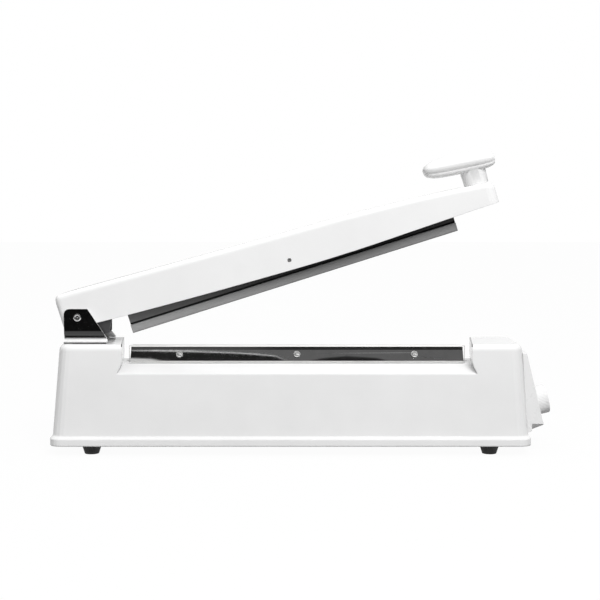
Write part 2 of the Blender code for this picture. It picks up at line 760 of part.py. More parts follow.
def pan_screw(name, seat, direction, length, parent, head=SCREW_HEAD_RADIUS, shank=SCREW_RADIUS):
    """A screw with its head behind seat and its shank along direction."""
    crown = SCREW_HEAD_HEIGHT
    profile = (
        (0, length),
        (shank, length),
        (shank, 0),
        (head, 0),
        (head, -crown / 2),
        (head * 3 / 4, -crown),
        (0, -crown),
    )
    turn = Vector(direction).to_track_quat("Z", "Y").to_euler()
    return turned(name, profile, "steel", parent, seat, turn, SCREW_SIDES)


def cross_recess(screw, head):
    """The cross that a screwdriver fits, in a screw's head."""
    for i, (x, y) in enumerate(((head / 2, SLOT_WIDTH / 2), (SLOT_WIDTH / 2, head / 2))):
        low = (-x, -y, -SCREW_HEAD_HEIGHT - OVERRUN)
        high = (x, y, -SCREW_HEAD_HEIGHT / 2)
        cut(screw, block(f"{screw.name}_slot_{i}", low, high, None, screw))


def bar_side(rest=BAR_HEIGHT):
    """The bar's side from its foot up to a height, as (y, z) on the +Y side."""
    share = (rest - BAR_KNEE_HEIGHT) / (BAR_HEIGHT - BAR_KNEE_HEIGHT)
    return [
        (BAR_FOOT_HALF, 0),
        (BAR_KNEE_HALF, BAR_KNEE_HEIGHT),
        (BAR_KNEE_HALF - (BAR_KNEE_HALF - BAR_TOP_HALF) * share, rest),
    ]


def above_bar(points):
    return [(y, BAR_FOOT + z) for y, z in points]


def seal_ends():
    return SEAL_X - SEAL_LENGTH / 2, SEAL_X + SEAL_LENGTH / 2


def clamp_screws():
    """Each clamp screw's name, the point under its head and the way that its shank runs."""
    side = offset_path(bar_side(), -(CLAMP_OFFSET + CLAMP_THICKNESS + GAP))
    (foot_y, foot_z), (knee_y, knee_z) = side[0], side[1]
    share = CLAMP_SCREW_DROP / (knee_z - foot_z)
    y = knee_y + (foot_y - knee_y) * share
    z = BAR_FOOT + knee_z - CLAMP_SCREW_DROP
    pitch = SEAL_LENGTH / 2 - CLAMP_SCREW_INSET
    run = Vector((knee_y - foot_y, knee_z - foot_z)).normalized()
    for name, way in (("front", -1), ("back", 1)):
        for i in range(3):
            x = SEAL_X + (i - 1) * pitch
            yield f"{name}_{i + 1}", (x, way * y, z), (0, -way * run.y, run.x)


def screw_holes(prefix, radius):
    """Cutters along the clamp screws, for the bar, the cloth and the plates."""
    for name, seat, way in clamp_screws():
        seat, way = Vector(seat), Vector(way)
        depth = CLAMP_SCREW_DEPTH + CLAMP_OFFSET + CLAMP_THICKNESS
        end = seat + way * (depth + SLIDE_GAP)
        yield rod(f"{prefix}_{name}", seat - way * OVERRUN, end, radius, None, ROOT, SCREW_SIDES)


def seal_bar():
    left, right = seal_ends()
    side = above_bar(bar_side())
    bar = prism("seal_bar", side + mirrored(side), left, right, "X", "aluminium", ROOT)
    cut(bar, *screw_holes("bar_thread", SCREW_RADIUS + GAP))
    for end in (-1, 1):
        x = SEAL_X + end * (SEAL_LENGTH / 2 - BAR_SCREW_INSET)
        seat = RECESS_FLOOR - WALL - GAP
        grip = BAR_HEIGHT / 2
        bore = (x, 0, seat), (x, 0, BAR_FOOT + grip + SLIDE_GAP)
        cut(bar, rod(f"bar_bore_{end}", *bore, SCREW_RADIUS + GAP, None, ROOT))
        name = "bar_screw_left" if end < 0 else "bar_screw_right"
        pan_screw(name, (x, 0, seat), (0, 0, 1), BAR_FOOT + grip - seat, ROOT)


def heating_parts():
    left, right = seal_ends()
    tape_foot = BAR_FOOT + BAR_HEIGHT + GAP
    tape_top = tape_foot + TAPE_THICKNESS
    half = BAR_TOP_HALF - TAPE_MARGIN
    block("insulation_tape", (left, -half, tape_foot), (right, half, tape_top), "glass_tape", ROOT)
    top = tape_top + GAP + STRIP_THICKNESS
    foot = RECESS_FLOOR - WALL - GAP - STRIP_TAIL
    out = SEAL_LENGTH / 2 + STRIP_OVERHANG
    inner = out - STRIP_THICKNESS
    under = top - STRIP_THICKNESS
    hoop = [(out, foot), (out, top), (-out, top), (-out, foot)]
    hoop += [(-inner, foot), (-inner, under), (inner, under), (inner, foot)]
    half = STRIP_WIDTH / 2
    prism("heating_strip", [(SEAL_X + x, z) for x, z in hoop], -half, half, "Y", "steel", ROOT)
    for name, side in (("left", -1), ("right", 1)):
        terminal("terminal_" + name, SEAL_X + side * (out - STRIP_THICKNESS / 2))


def terminal(name, x):
    """A brass block under the floor, slotted for the strip's end."""
    top = RECESS_FLOOR - WALL - GAP
    low = (x - TERMINAL_LENGTH / 2, -TERMINAL_WIDTH / 2, top - TERMINAL_HEIGHT)
    high = (x + TERMINAL_LENGTH / 2, TERMINAL_WIDTH / 2, top)
    made = block(name, low, high, "brass", ROOT)
    play = STRIP_THICKNESS / 2 + GAP
    slot_low = (x - play, -STRIP_WIDTH / 2 - GAP, low[2] - OVERRUN)
    slot_high = (x + play, STRIP_WIDTH / 2 + GAP, top + OVERRUN)
    cut(made, block(name + "_slot", slot_low, slot_high, None, ROOT))


def cloth_and_clamps():
    left, right = seal_ends()
    path = bar_side(CLOTH_REST)
    path = above_bar(path) + mirrored(above_bar(path))
    inner = offset_path(path, -GAP)
    outer = offset_path(path, -GAP - CLOTH_THICKNESS)
    cloth = prism("ptfe_cloth", outer + inner[::-1], left, right, "X", "cloth", ROOT)
    cut(cloth, *screw_holes("cloth_hole", SCREW_RADIUS + GAP))
    (foot_y, _), (knee_y, _) = bar_side()[:2]
    foot_share = CLAMP_FOOT_HEIGHT / BAR_KNEE_HEIGHT
    side = bar_side(BAR_HEIGHT + CLAMP_LIP)
    side[0] = (foot_y + (knee_y - foot_y) * foot_share, CLAMP_FOOT_HEIGHT)
    side = above_bar(side)
    near = offset_path(side, -CLAMP_OFFSET)
    far = offset_path(side, -CLAMP_OFFSET - CLAMP_THICKNESS)
    outline = far + near[::-1]
    for name, shape in (("front", mirrored(outline)), ("back", outline)):
        plate = prism("clamp_plate_" + name, shape, left, right, "X", "chrome", ROOT)
        cut(plate, *screw_holes("clamp_hole_" + name, SCREW_RADIUS + GAP))
    for name, seat, way in clamp_screws():
        length = CLAMP_SCREW_DEPTH + CLAMP_OFFSET + CLAMP_THICKNESS
        cross_recess(pan_screw("clamp_screw_" + name, seat, way, length, ROOT), SCREW_HEAD_RADIUS)


def ear_outline():
    """An ear seen from the front, as (x, z)."""
    left = PIVOT_X - EAR_BACK
    top = PIVOT_Z + EAR_RISE
    foot = BASE_TOP - OVERRUN
    front = PIVOT_X + EAR_FOOT_FRONT
    corner = arc((left + EAR_CORNER, top - EAR_CORNER), EAR_CORNER, 2, 1, 5)
    slant = [(PIVOT_X + EAR_TOP_FRONT, top), (front, FLANGE_TOP + EAR_SHOULDER), (front, foot)]
    taper = [(left + EAR_TAPER, foot), (left + EAR_TAPER, FLANGE_TOP), (left, FLANGE_TOP + EAR_BEND)]
    return taper + corner + slant


def ear_section():
    """An ear's sheet seen from the end, as (y, z) on the +Y side: upright, bend and flange."""
    bend = arc((EAR_FACE + EAR_BEND, FLANGE_TOP + EAR_BEND), EAR_BEND, 2, 3, 6)
    face = [(EAR_FACE, PIVOT_Z + EAR_RISE + OVERRUN)] + bend
    face += [(EAR_FACE + EAR_BEND + EAR_FLANGE, FLANGE_TOP)]
    return face + offset_path(face, -EAR_THICKNESS)[::-1]


def hinge_ears():
    left = PIVOT_X - EAR_BACK - OVERRUN
    right = PIVOT_X + EAR_FOOT_FRONT + OVERRUN
    section = ear_section()
    for name, side, shape in (("front", -1, mirrored(section)), ("back", 1, section)):
        ear = prism("hinge_ear_" + name, shape, left, right, "X", "chrome", ROOT)
        near = side * (EAR_FACE - EAR_THICKNESS - OVERRUN)
        far = side * (EAR_FACE + EAR_BEND + EAR_FLANGE + OVERRUN)
        view = prism("ear_view_" + name, ear_outline(), min(near, far), max(near, far), "Y", None, ROOT)
        boolean(ear, view, "INTERSECT")
        bore = (PIVOT_X, near, PIVOT_Z), (PIVOT_X, far, PIVOT_Z)
        cut(ear, rod("ear_bore_" + name, *bore, PIN_RADIUS + GAP, None, ROOT, 24))
        for place, x, y in ear_stud_places():
            if place.startswith(name):
                top = FLANGE_TOP - EAR_THICKNESS / 2
                stud = (x, y, top - STUD_LENGTH), (x, y, top)
                join(ear, rod("stud_" + place, *stud, STUD_RADIUS, None, ROOT))
                foot = (x, y, CEILING - GAP - NUT_HEIGHT)
                hex_nut("ear_nut_" + place, foot, (0, 0, 1), NUT_RADIUS, STUD_RADIUS, NUT_HEIGHT)


def hex_nut(name, foot, direction, radius, bore, height, parent=None):
    foot, way = Vector(foot), Vector(direction)
    parent = parent or ROOT
    nut = rod(name, foot, foot + way * height, radius, "steel", parent, 6)
    end = foot + way * (height + OVERRUN)
    hole = rod(name + "_bore", foot - way * OVERRUN, end, bore + GAP, None, parent)
    cut(nut, hole)


def hinge_pin():
    """A socket-headed pin through both ears, with a nut behind the back one."""
    seat = -(EAR_FACE + GAP)
    end = EAR_FACE + GAP + NUT_HEIGHT + GAP
    length = end - seat
    profile = (
        (0, length),
        (PIN_RADIUS, length),
        (PIN_RADIUS, 0),
        (PIN_HEAD_RADIUS, 0),
        (PIN_HEAD_RADIUS, PIN_CHAMFER - PIN_HEAD_HEIGHT),
        (PIN_HEAD_RADIUS - PIN_CHAMFER, -PIN_HEAD_HEIGHT),
        (PIN_SOCKET_RADIUS, -PIN_HEAD_HEIGHT),
        (PIN_SOCKET_RADIUS, PIN_SOCKET_DEPTH - PIN_HEAD_HEIGHT),
        (0, PIN_SOCKET_DEPTH - PIN_HEAD_HEIGHT),
    )
    turned("hinge_pin", profile, "steel", ROOT, (PIVOT_X, seat, PIVOT_Z), (-math.pi / 2, 0, 0), 24)
    foot = (PIVOT_X, EAR_FACE + GAP, PIVOT_Z)
    hex_nut("hinge_nut", foot, (0, 1, 0), PIN_RADIUS + PIN_NUT_WALL, PIN_RADIUS, NUT_HEIGHT)


def cover_top(u):
    return ARM_TOP * between(COVER_TOP_SHARES, u / ARM_REACH)


def cover_foot(u):
    return -ARM_FOOT * between(COVER_FOOT_SHARES, u / ARM_REACH)


def cover_section(u, shrink, droop):
    """The cover's outer skin at one place: up the front, over the top and down the back."""
    half = ARM_HALF - shrink
    top = cover_top(u) - droop
    foot = cover_foot(u)
    side = arc((half - ARM_FILLET, top - ARM_FILLET), ARM_FILLET, 0, 1, 4)
    side = [(half, foot)] + side
    return [(u, y, z) for y, z in side + mirrored(side)]


def end_sections(end, way, radius):
    """Sections round one end of the cover, where its sides and top turn in."""
    sections = []
    for run, rise in arc((0, 0), 1, 0, 1, 5):
        u = end - way * radius * (1 - rise)
        sections.append(cover_section(u, radius * (1 - run) if rise < 1 else radius, ARM_FILLET * (1 - run)))
    return sections


def arm_cover():
    """A shell open below: sections along the arm, closed at both ends, with a wall inside."""
    tail = end_sections(-ARM_BACK, -1, ARM_TAIL)
    nose = end_sections(ARM_REACH, 1, ARM_NOSE)
    run = ARM_REACH - ARM_NOSE
    middle = [cover_section(run * i / COVER_STEPS, 0, 0) for i in range(COVER_STEPS)]
    rings = tail[::-1] + middle + nose
    bm = bmesh.new()
    rows = [[bm.verts.new(point) for point in ring] for ring in rings]
    for near, far in zip(rows, rows[1:]):
        for i in range(len(near) - 1):
            bm.faces.new((near[i], near[i + 1], far[i + 1], far[i]))
    bm.faces.new(rows[0])
    bm.faces.new(rows[-1])
    cover = placed("arm_cover", mesh_of(bm, "arm_cover"), "white_plastic", ARM)
    solid = cover.modifiers.new("wall", "SOLIDIFY")
    solid.thickness = ARM_WALL
    solid.offset = -1
    solid.use_even_offset = True
    cut(cover, *arm_bores("cover", ARM_HALF + OVERRUN))


def arm_bores(name, reach):
    """Cutters through the arm for the hinge pin, the rocker's pin and the handle's screw."""
    pin = (0, -reach, 0), (0, reach, 0)
    rock = (ROCK_X, -reach, -ROCK_DEPTH), (ROCK_X, reach, -ROCK_DEPTH)
    screw = (POST_X, 0, -ARM_TOP), (POST_X, 0, ARM_TOP)
    yield rod(name + "_pin_bore", *pin, PIN_RADIUS + GAP, None, ARM, 24)
    yield rod(name + "_rock_bore", *rock, ROCK_PIN_RADIUS + GAP, None, ARM)
    yield rod(name + "_handle_bore", *screw, HANDLE_SCREW_RADIUS + GAP, None, ARM)


def channel_top(u):
    return cover_top(u) - ARM_WALL - CHANNEL_DROP


def channel_outline():
    """The channel's side, as (u, w) from the pivot, with its lug below the pivot."""
    tops = [ARM_REACH * share for share, _ in COVER_TOP_SHARES if ARM_REACH * share < CHANNEL_REACH]
    top = [(u, channel_top(u)) for u in [-CHANNEL_BACK] + tops + [CHANNEL_REACH]]
    lug = [
        (LUG_REACH + LUG_SLANT, -CHANNEL_FOOT),
        (LUG_REACH, LUG_WAIST - LUG_DEPTH),
        (LUG_REACH - LUG_TOE_SLANT, -LUG_DEPTH - LUG_TOE),
        (LUG_REACH - LUG_TOE_LENGTH, -LUG_DEPTH - LUG_TOE),
        (LUG_REACH - LUG_TOE_LENGTH - LUG_TOE, -LUG_DEPTH),
        (0, -LUG_DEPTH),
        (-CHANNEL_BACK, LUG_HEEL - LUG_DEPTH),
    ]
    return top + [(CHANNEL_REACH, -CHANNEL_FOOT / 2)] + lug


def before_back_lug():
    """The room in front of the back wall's lug, down to the toe."""
    top = -CHANNEL_FOOT - CHANNEL_WALL / 4
    below = -LUG_DEPTH - LUG_TOE - OVERRUN
    left, right = LUG_REACH - LUG_SHORT, LUG_REACH + LUG_SLANT + OVERRUN
    outline = ((left + LUG_SLANT, top), (right, top), (right, below), (left, below))
    return prism("before_back_lug", outline, 0, CHANNEL_HALF + OVERRUN, "Y", None, ARM)


def arm_channel():
    outline = channel_outline()
    channel = prism("arm_channel", outline, -CHANNEL_HALF, CHANNEL_HALF, "Y", "steel", ARM)
    inner = CHANNEL_HALF - CHANNEL_WALL
    count = sum(1 for _, w in outline if w > 0)
    roof = [(u, w - CHANNEL_WALL) for u, w in outline[:count]]
    roof[0] = (-CHANNEL_BACK - OVERRUN, roof[0][1])
    roof[-1] = (CHANNEL_REACH + OVERRUN, roof[-1][1])
    below = -LUG_DEPTH - LUG_TOE - OVERRUN
    room = roof + [(roof[-1][0], below), (roof[0][0], below)]
    cut(channel, prism("channel_room", room, -inner, inner, "Y", None, ARM))
    cut(channel, before_back_lug())
    reach = inner + CHANNEL_WALL / 2
    nose = (NOSE_X, -reach, -NOSE_DEPTH), (NOSE_X, reach, -NOSE_DEPTH)
    join(channel, rod("nose", *nose, NOSE_RADIUS, None, ARM))
    cut(channel, *arm_bores("channel", CHANNEL_HALF + OVERRUN))
    bush_half = inner - GAP
    bore, outside = PIN_RADIUS + GAP, PIN_RADIUS + GAP + BUSH_WALL
    profile = ((outside, bush_half), (outside, -bush_half), (bore, -bush_half), (bore, bush_half))
    turned("pivot_bush", profile, "brass", ARM, (0, 0, 0), (math.pi / 2, 0, 0), 24)


def pressure_bar():
    """The rocking holder, its silicone strip and the pin that carries them."""
    half = CHANNEL_HALF
    pin = (ROCK_X, -half, -ROCK_DEPTH), (ROCK_X, half, -ROCK_DEPTH)
    rod("rock_pin", *pin, ROCK_PIN_RADIUS, "steel", ARM)
    left = -HOLDER_SHIFT - HOLDER_LENGTH / 2
    right = HOLDER_LENGTH / 2 - HOLDER_SHIFT
    slot = RIB_HALF + GAP
    slot_top = RIB_HEIGHT + GAP - HOLDER_DROP
    side = [(slot, slot_top), (slot, -HOLDER_DROP), (HOLDER_HALF, -HOLDER_DROP), (HOLDER_HALF, HOLDER_RISE)]
    holder = prism("strip_holder", side + mirrored(side), left, right, "X", "dark_aluminium", ROCKER)
    boss = CHANNEL_HALF - CHANNEL_WALL - SLIDE_GAP
    radius = ROCK_PIN_RADIUS + GAP + HOLDER_BOSS_WALL
    join(holder, rod("holder_boss", (0, -boss, 0), (0, boss, 0), radius, None, ROCKER))
    cut(holder, rod("holder_bore", (0, -half, 0), (0, half, 0), ROCK_PIN_RADIUS + GAP, None, ROCKER))
    top = -HOLDER_DROP - GAP
    foot = top - SILICONE_HEIGHT + GAP
    corner = arc((SILICONE_HALF - SILICONE_ROUND, foot + SILICONE_ROUND), SILICONE_ROUND, 3, 4, 3)
    side = corner + [(SILICONE_HALF, top), (RIB_HALF, top), (RIB_HALF, RIB_HEIGHT - HOLDER_DROP)]
    prism("seal_strip", side + mirrored(side), left, right, "X", "silicone", ROCKER)


def handle():
    """The grip and its post in one moulding, its foot shaped to the cover's top."""
    foot = cover_top(POST_X)
    run = (POST_X, 0, foot - POST_FOOT_RADIUS), (POST_X, 0, foot + GRIP_RISE)
    post = rod("handle", *run, POST_FOOT_RADIUS, "white_plastic", ARM, ROUND_SIDES, POST_TOP_RADIUS)
    join(post, grip(foot + GRIP_RISE))
    cut(post, under_post())
    top = foot + SCREW_GRIP
    bore = (POST_X, 0, 0), (POST_X, 0, top + OVERRUN)
    cut(post, rod("post_bore", *bore, HANDLE_SCREW_RADIUS + GAP, None, ARM))
    seat = channel_top(POST_X + HANDLE_SCREW_HEAD) - CHANNEL_WALL - SLIDE_GAP
    place = (POST_X, 0, seat)
    pan_screw("handle_screw", place, (0, 0, 1), top - seat, ARM, HANDLE_SCREW_HEAD, HANDLE_SCREW_RADIUS)


def under_post():
    """A cutter whose top follows the cover under the handle's post."""
    reach = POST_FOOT_RADIUS + OVERRUN
    outline = [(POST_X + reach, -reach), (POST_X - reach, -reach)]
    for i in range(POST_STEPS + 1):
        u = POST_X - reach + 2 * reach * i / POST_STEPS
        outline.append((u, cover_top(u) + GAP))
    return prism("post_floor", outline, -reach, reach, "Y", None, ARM)


def grip(height):
    """A soft bar across the post, swollen from a coarse cage."""
    bm = bmesh.new()
    bmesh.ops.create_cube(bm, size=1)
    bmesh.ops.subdivide_edges(
        bm,
        edges=[e for e in bm.edges if abs(e.verts[0].co.x - e.verts[1].co.x) > 0.5],
        cuts=GRIP_CAGE_CUTS,
        use_grid_fill=True,
    )
    size = Vector((GRIP_LENGTH * GRIP_CAGE_SHARE, GRIP_WIDTH, GRIP_DEPTH * GRIP_CAGE_SHARE))
    for vert in bm.verts:
        swell = GRIP_END_SHARE + GRIP_SWELL_SHARE * (1 - (2 * vert.co.x) ** 2)
        vert.co = vert.co * size * Vector((1, swell, swell))
    made = placed("grip", mesh_of(bm, "grip"), None, ARM, (GRIP_X, 0, height), (0, -GRIP_SLOPE, 0))
    soft = made.modifiers.new("soft", "SUBSURF")
    soft.levels = 3
    soft.render_levels = 3
    return made


def return_plunger():
    """The rod that the arm presses down, its spring, the bracket under it and the switch."""
    seat = CEILING - GAP
    profile = (
        (0, PLUNGER_TOP),
        (PLUNGER_RADIUS - PLUNGER_CHAMFER, PLUNGER_TOP),
        (PLUNGER_RADIUS, PLUNGER_TOP - PLUNGER_CHAMFER),
        (PLUNGER_RADIUS, seat),
        (COLLAR_RADIUS, seat),
        (COLLAR_RADIUS, COLLAR_FOOT),
        (PLUNGER_ROD, COLLAR_FOOT),
        (PLUNGER_ROD, PLUNGER_FOOT),
        (0, PLUNGER_FOOT),
    )
    turned("return_plunger", profile, "steel", ROOT, (PLUNGER_X, 0, 0), sides=20)
    return_spring(COLLAR_FOOT - GAP, BRACKET_TOP + GAP)
    switch_bracket()
    micro_switch()


def return_spring(top, foot):
    """One unbroken coil standing between the bracket and the plunger's collar."""
    low, high = foot + SPRING_WIRE, top - SPRING_WIRE
    count = SPRING_TURNS * SPRING_POINTS
    points = []
    for i in range(count + 1):
        angle = 2 * math.pi * i / SPRING_POINTS
        height = low + (high - low) * i / count
        points.append(Vector((SPRING_RADIUS * math.cos(angle), SPRING_RADIUS * math.sin(angle), height)))
    least = min((points[i] - points[i + SPRING_POINTS]).length for i in range(count + 1 - SPRING_POINTS))
    print(f"return_spring: least gap between turns {(least - 2 * SPRING_WIRE) * 1000:.2f} mm")
    curve = bpy.data.curves.new("return_spring", "CURVE")
    curve.dimensions = "3D"
    curve.bevel_depth = SPRING_WIRE
    curve.bevel_resolution = 1
    curve.use_fill_caps = True
    spline = curve.splines.new("POLY")
    spline.points.add(count)
    for point, place in zip(spline.points, points):
        point.co = (*place, 1)
    made = bpy.data.objects.new("return_spring", curve)
    made.location = (PLUNGER_X, 0, 0)
    made.parent = ROOT
    PARTS.objects.link(made)
    curve.materials.append(look("steel"))


def switch_bracket():
    """A bent strip that stands on the bottom plate and reaches under the spring."""
    back = PLUNGER_X - BRACKET_LEG - BRACKET_THICKNESS
    front = PLUNGER_X + BRACKET_LEG
    foot = PLATE_TOP + GAP
    path = [(front, foot), (back, foot), (back, BRACKET_TOP), (front, BRACKET_TOP)]
    outline = path + offset_path(path, -BRACKET_THICKNESS)[::-1]
    bracket = prism("switch_bracket", outline, -BRACKET_HALF, BRACKET_HALF, "Y", "steel", ROOT)
    guide = (PLUNGER_X, 0, BRACKET_TOP - BRACKET_THICKNESS - OVERRUN), (PLUNGER_X, 0, BRACKET_TOP + OVERRUN)
    cut(bracket, rod("bracket_guide", *guide, PLUNGER_ROD + SLIDE_GAP, None, ROOT))


def micro_switch():
    """The switch beside the bracket's upright, and its button under the rod."""
    travel = plunger_travel()
    left = PLUNGER_X - BRACKET_LEG + GAP
    head = PLUNGER_FOOT - GAP
    top = head - travel - SLIDE_GAP
    half = SWITCH_WIDTH / 2
    low = (left, -half, top - SWITCH_HEIGHT)
    body = block("micro_switch", low, (left + SWITCH_LENGTH, half, top), "black_plastic", ROOT)
    foot = top - BUTTON_GUIDE
    well = (PLUNGER_X, 0, foot - travel - SLIDE_GAP), (PLUNGER_X, 0, top + OVERRUN)
    cut(body, rod("button_well", *well, BUTTON_RADIUS + SLIDE_GAP, None, ROOT))
    button = (PLUNGER_X, 0, foot), (PLUNGER_X, 0, head)
    rod("switch_button", *button, BUTTON_RADIUS, "black_plastic", ROOT)


def plunger_travel():
    """How far the channel's nose drops as the arm closes."""
    return NOSE_X * math.sin(OPEN_ANGLE) + NOSE_DEPTH * (1 - math.cos(OPEN_ANGLE))


def panel_outline(inset):
    """The panel from the front, as (x, z), or the room inside it when inset is its wall."""
    low, high, out = panel_face()
    wall_top = base_wall(PANEL_TOP)[1] + GAP
    wall_foot = base_wall(PANEL_CHIN)[1] + GAP
    chin = (low.x - PANEL_CHIN_RUN, PANEL_CHIN)
    outer = [(wall_foot, PANEL_CHIN), chin, (low.x, PANEL_FOOT), (high.x, PANEL_TOP), (wall_top, PANEL_TOP)]
    if chin[0] <= wall_foot:
        outer.pop(1)
    if not inset:
        return outer
    inner = offset_path(outer, inset)[-3:]
    inner[-1] = (wall_top - OVERRUN, inner[-1][1])
    floor = PANEL_FOOT + PANEL_FLOOR_RISE
    share = (floor - inner[0][1]) / (inner[1][1] - inner[0][1])
    inner[0] = (inner[0][0] + (inner[1][0] - inner[0][0]) * share, floor)
    return [(wall_foot - OVERRUN, floor)] + inner


def toe_cutter(side):
    """A wedge that cuts one lower corner of the panel back at 45 degrees."""
    low, _, _ = panel_face()
    top = PANEL_FOOT + TOE_RISE
    out = side * (PANEL_HALF + OVERRUN)
    back = side * (PANEL_HALF - TOE_DEPTH)
    corner = [(out, top + OVERRUN), (back, top - TOE_DEPTH), (back, -OVERRUN), (out, -OVERRUN)]
    return prism("toe_cutter", corner[::side], low.x - TOE_LENGTH, low.x + OVERRUN, "X", None, ROOT)


def timer_panel():
    panel = prism("timer_panel", panel_outline(0), -PANEL_HALF, PANEL_HALF, "Y", "white_plastic", ROOT)
    bevel(panel, PANEL_ROUND, 3)
    room_half = PANEL_HALF - PANEL_WALL
    cut(panel, prism("panel_room", panel_outline(PANEL_WALL), -room_half, room_half, "Y", None, ROOT))
    cut(panel, toe_cutter(-1), toe_cutter(1))
    depth = PANEL_WALL + OVERRUN
    for name, x, radius in (("knob", 0, POT_NECK_RADIUS), ("lamp", lamp_x(), LAMP_RADIUS)):
        hole = (x, 0, -depth), (x, 0, OVERRUN)
        cut(panel, rod(name + "_hole", *hole, radius + GAP, None, KNOB, 20))


def lamp_x():
    """The lamp's place in the knob's frame, whose X axis runs down the panel's face."""
    low, high, _ = panel_face()
    return -(high - low).length * (LAMP_SHARE - KNOB_HEIGHT_SHARE)


def indicator_lamp():
    profile = (
        (0, LAMP_RISE),
        (LAMP_RADIUS * 2 / 3, LAMP_RISE),
        (LAMP_RADIUS, 0),
        (LAMP_RADIUS, -LAMP_LENGTH),
        (0, -LAMP_LENGTH),
    )
    turned("indicator_lamp", profile, "red_lens", KNOB, (lamp_x(), 0, 0))


def timer_knob():
    """A fluted knob, hollow underneath, pressed on the timer's shaft."""
    top = KNOB_LIFT + KNOB_LENGTH
    inner = KNOB_RADIUS - KNOB_WALL
    hub = SHAFT_RADIUS + GAP
    hub_out = hub + KNOB_WALL
    roof = top - KNOB_WALL * 2
    hub_foot = KNOB_LIFT + POT_NUT_HEIGHT + KNOB_WALL
    profile = (
        (0, top),
        (KNOB_RADIUS - KNOB_ROUND, top),
        (KNOB_RADIUS, top - KNOB_ROUND),
        (KNOB_RADIUS, KNOB_LIFT),
        (inner, KNOB_LIFT),
        (inner, roof),
        (hub_out, roof),
        (hub_out, hub_foot),
        (hub, hub_foot),
        (hub, roof),
        (0, roof),
    )
    knob = turned("timer_knob", profile, "white_plastic", KNOB, sides=ROUND_SIDES + SMALL_SIDES)
    for i in range(KNOB_FLUTES):
        angle = 2 * math.pi * (i + 0.5) / KNOB_FLUTES
        reach = KNOB_RADIUS + KNOB_FLUTE_RADIUS / 3
        x, y = reach * math.cos(angle), reach * math.sin(angle)
        flute = (x, y, KNOB_LIFT + KNOB_WALL), (x, y, top + OVERRUN)
        cut(knob, rod(f"flute_{i}", *flute, KNOB_FLUTE_RADIUS, None, KNOB, 6))
    shaft_foot = -PANEL_WALL - GAP
    rod("timer_shaft", (0, 0, shaft_foot), (0, 0, roof - GAP), SHAFT_RADIUS, "aluminium", KNOB)


def timer_inside():
    """The timer's potentiometer, its nut and the board behind it."""
    seat = -PANEL_WALL - GAP
    neck_top = GAP + POT_NUT_HEIGHT
    well = SHAFT_RADIUS + SLIDE_GAP
    profile = (
        (0, seat - SLIDE_GAP),
        (well, seat - SLIDE_GAP),
        (well, neck_top),
        (POT_NECK_RADIUS, neck_top),
        (POT_NECK_RADIUS, seat),
        (POT_RADIUS, seat),
        (POT_RADIUS, seat - POT_DEPTH),
        (0, seat - POT_DEPTH),
    )
    turned("potentiometer", profile, "steel", KNOB, sides=24)
    sizes = POT_NECK_RADIUS + POT_NUT_WALL, POT_NECK_RADIUS, POT_NUT_HEIGHT
    hex_nut("potentiometer_nut", (0, 0, GAP), (0, 0, 1), *sizes, KNOB)
    back = seat - POT_DEPTH - GAP
    corner = Vector((BOARD_HEIGHT / 2, BOARD_HALF, back))
    block("circuit_board", (-corner.x, -corner.y, back - BOARD_THICKNESS), corner, "green_board", KNOB)


def transformer():
    foot = PLATE_TOP + GAP
    left, right = CORE_X - CORE_LENGTH / 2, CORE_X + CORE_LENGTH / 2
    top = RECESS_FLOOR - WALL - CORE_HEADROOM
    half = CORE_DEPTH / 2
    core = block("transformer_core", (left, -half, foot), (right, half, top), "iron", ROOT)
    low, high = foot + CORE_LIMB, top - CORE_LIMB
    coil_left, coil_right = left + CORE_LIMB + COIL_PLAY, right - CORE_LIMB - COIL_PLAY
    through = half + OVERRUN
    windows = (left + CORE_LIMB, CORE_X - CORE_LIMB), (CORE_X + CORE_LIMB, right - CORE_LIMB)
    for i, (start, end) in enumerate(windows):
        cut(core, block(f"core_window_{i}", (start, -through, low), (end, through, high), None, ROOT))
    reach = half + COIL_BULGE
    coil = block(
        "transformer_coil",
        (coil_left, -reach, low + COIL_PLAY),
        (coil_right, reach, high - COIL_PLAY),
        "coil_tape",
        ROOT,
    )
    bevel(coil, COIL_BULGE / 3)
    limb = CORE_LIMB + COIL_PLAY
    inside = half + COIL_PLAY
    room_low = (CORE_X - limb, -inside, low - OVERRUN)
    room_high = (CORE_X + limb, inside, high + OVERRUN)
    cut(coil, block("limb_room", room_low, room_high, None, ROOT))


def cord_inlet():
    """A grommet for the mains cord, low on the back wall and square to it."""
    lean = math.atan2(SIDE_LEAN, BASE_TOP - FACE_FOOT)
    profile = (
        (INLET_RADIUS, INLET_THICKNESS + GAP),
        (INLET_RADIUS, GAP),
        (INLET_NECK, GAP),
        (INLET_NECK, -WALL - GAP),
        (INLET_RADIUS, -WALL - GAP),
        (INLET_RADIUS, -WALL - GAP - INLET_THICKNESS),
        (INLET_BORE, -WALL - GAP - INLET_THICKNESS),
        (INLET_BORE, INLET_THICKNESS + GAP),
    )
    place = (INLET_X, base_wall(INLET_Z)[2], INLET_Z)
    turned("cord_grommet", profile, "black_rubber", ROOT, place, (lean - math.pi / 2, 0, 0), 24)


def knob_reach():
    """How far the knob's rim reaches to the right of the base's middle."""
    low, high, out = panel_face()
    centre = low + (high - low) * KNOB_HEIGHT_SHARE
    tip = centre + out * (KNOB_LIFT + KNOB_LENGTH)
    return tip.x + (KNOB_RADIUS - KNOB_ROUND) * out.z


def knob_frame(parent):
    low, high, out = panel_face()
    centre = low + (high - low) * KNOB_HEIGHT_SHARE
    return empty("knob_axis", centre, (0, math.atan2(out.x, out.z), 0), parent)


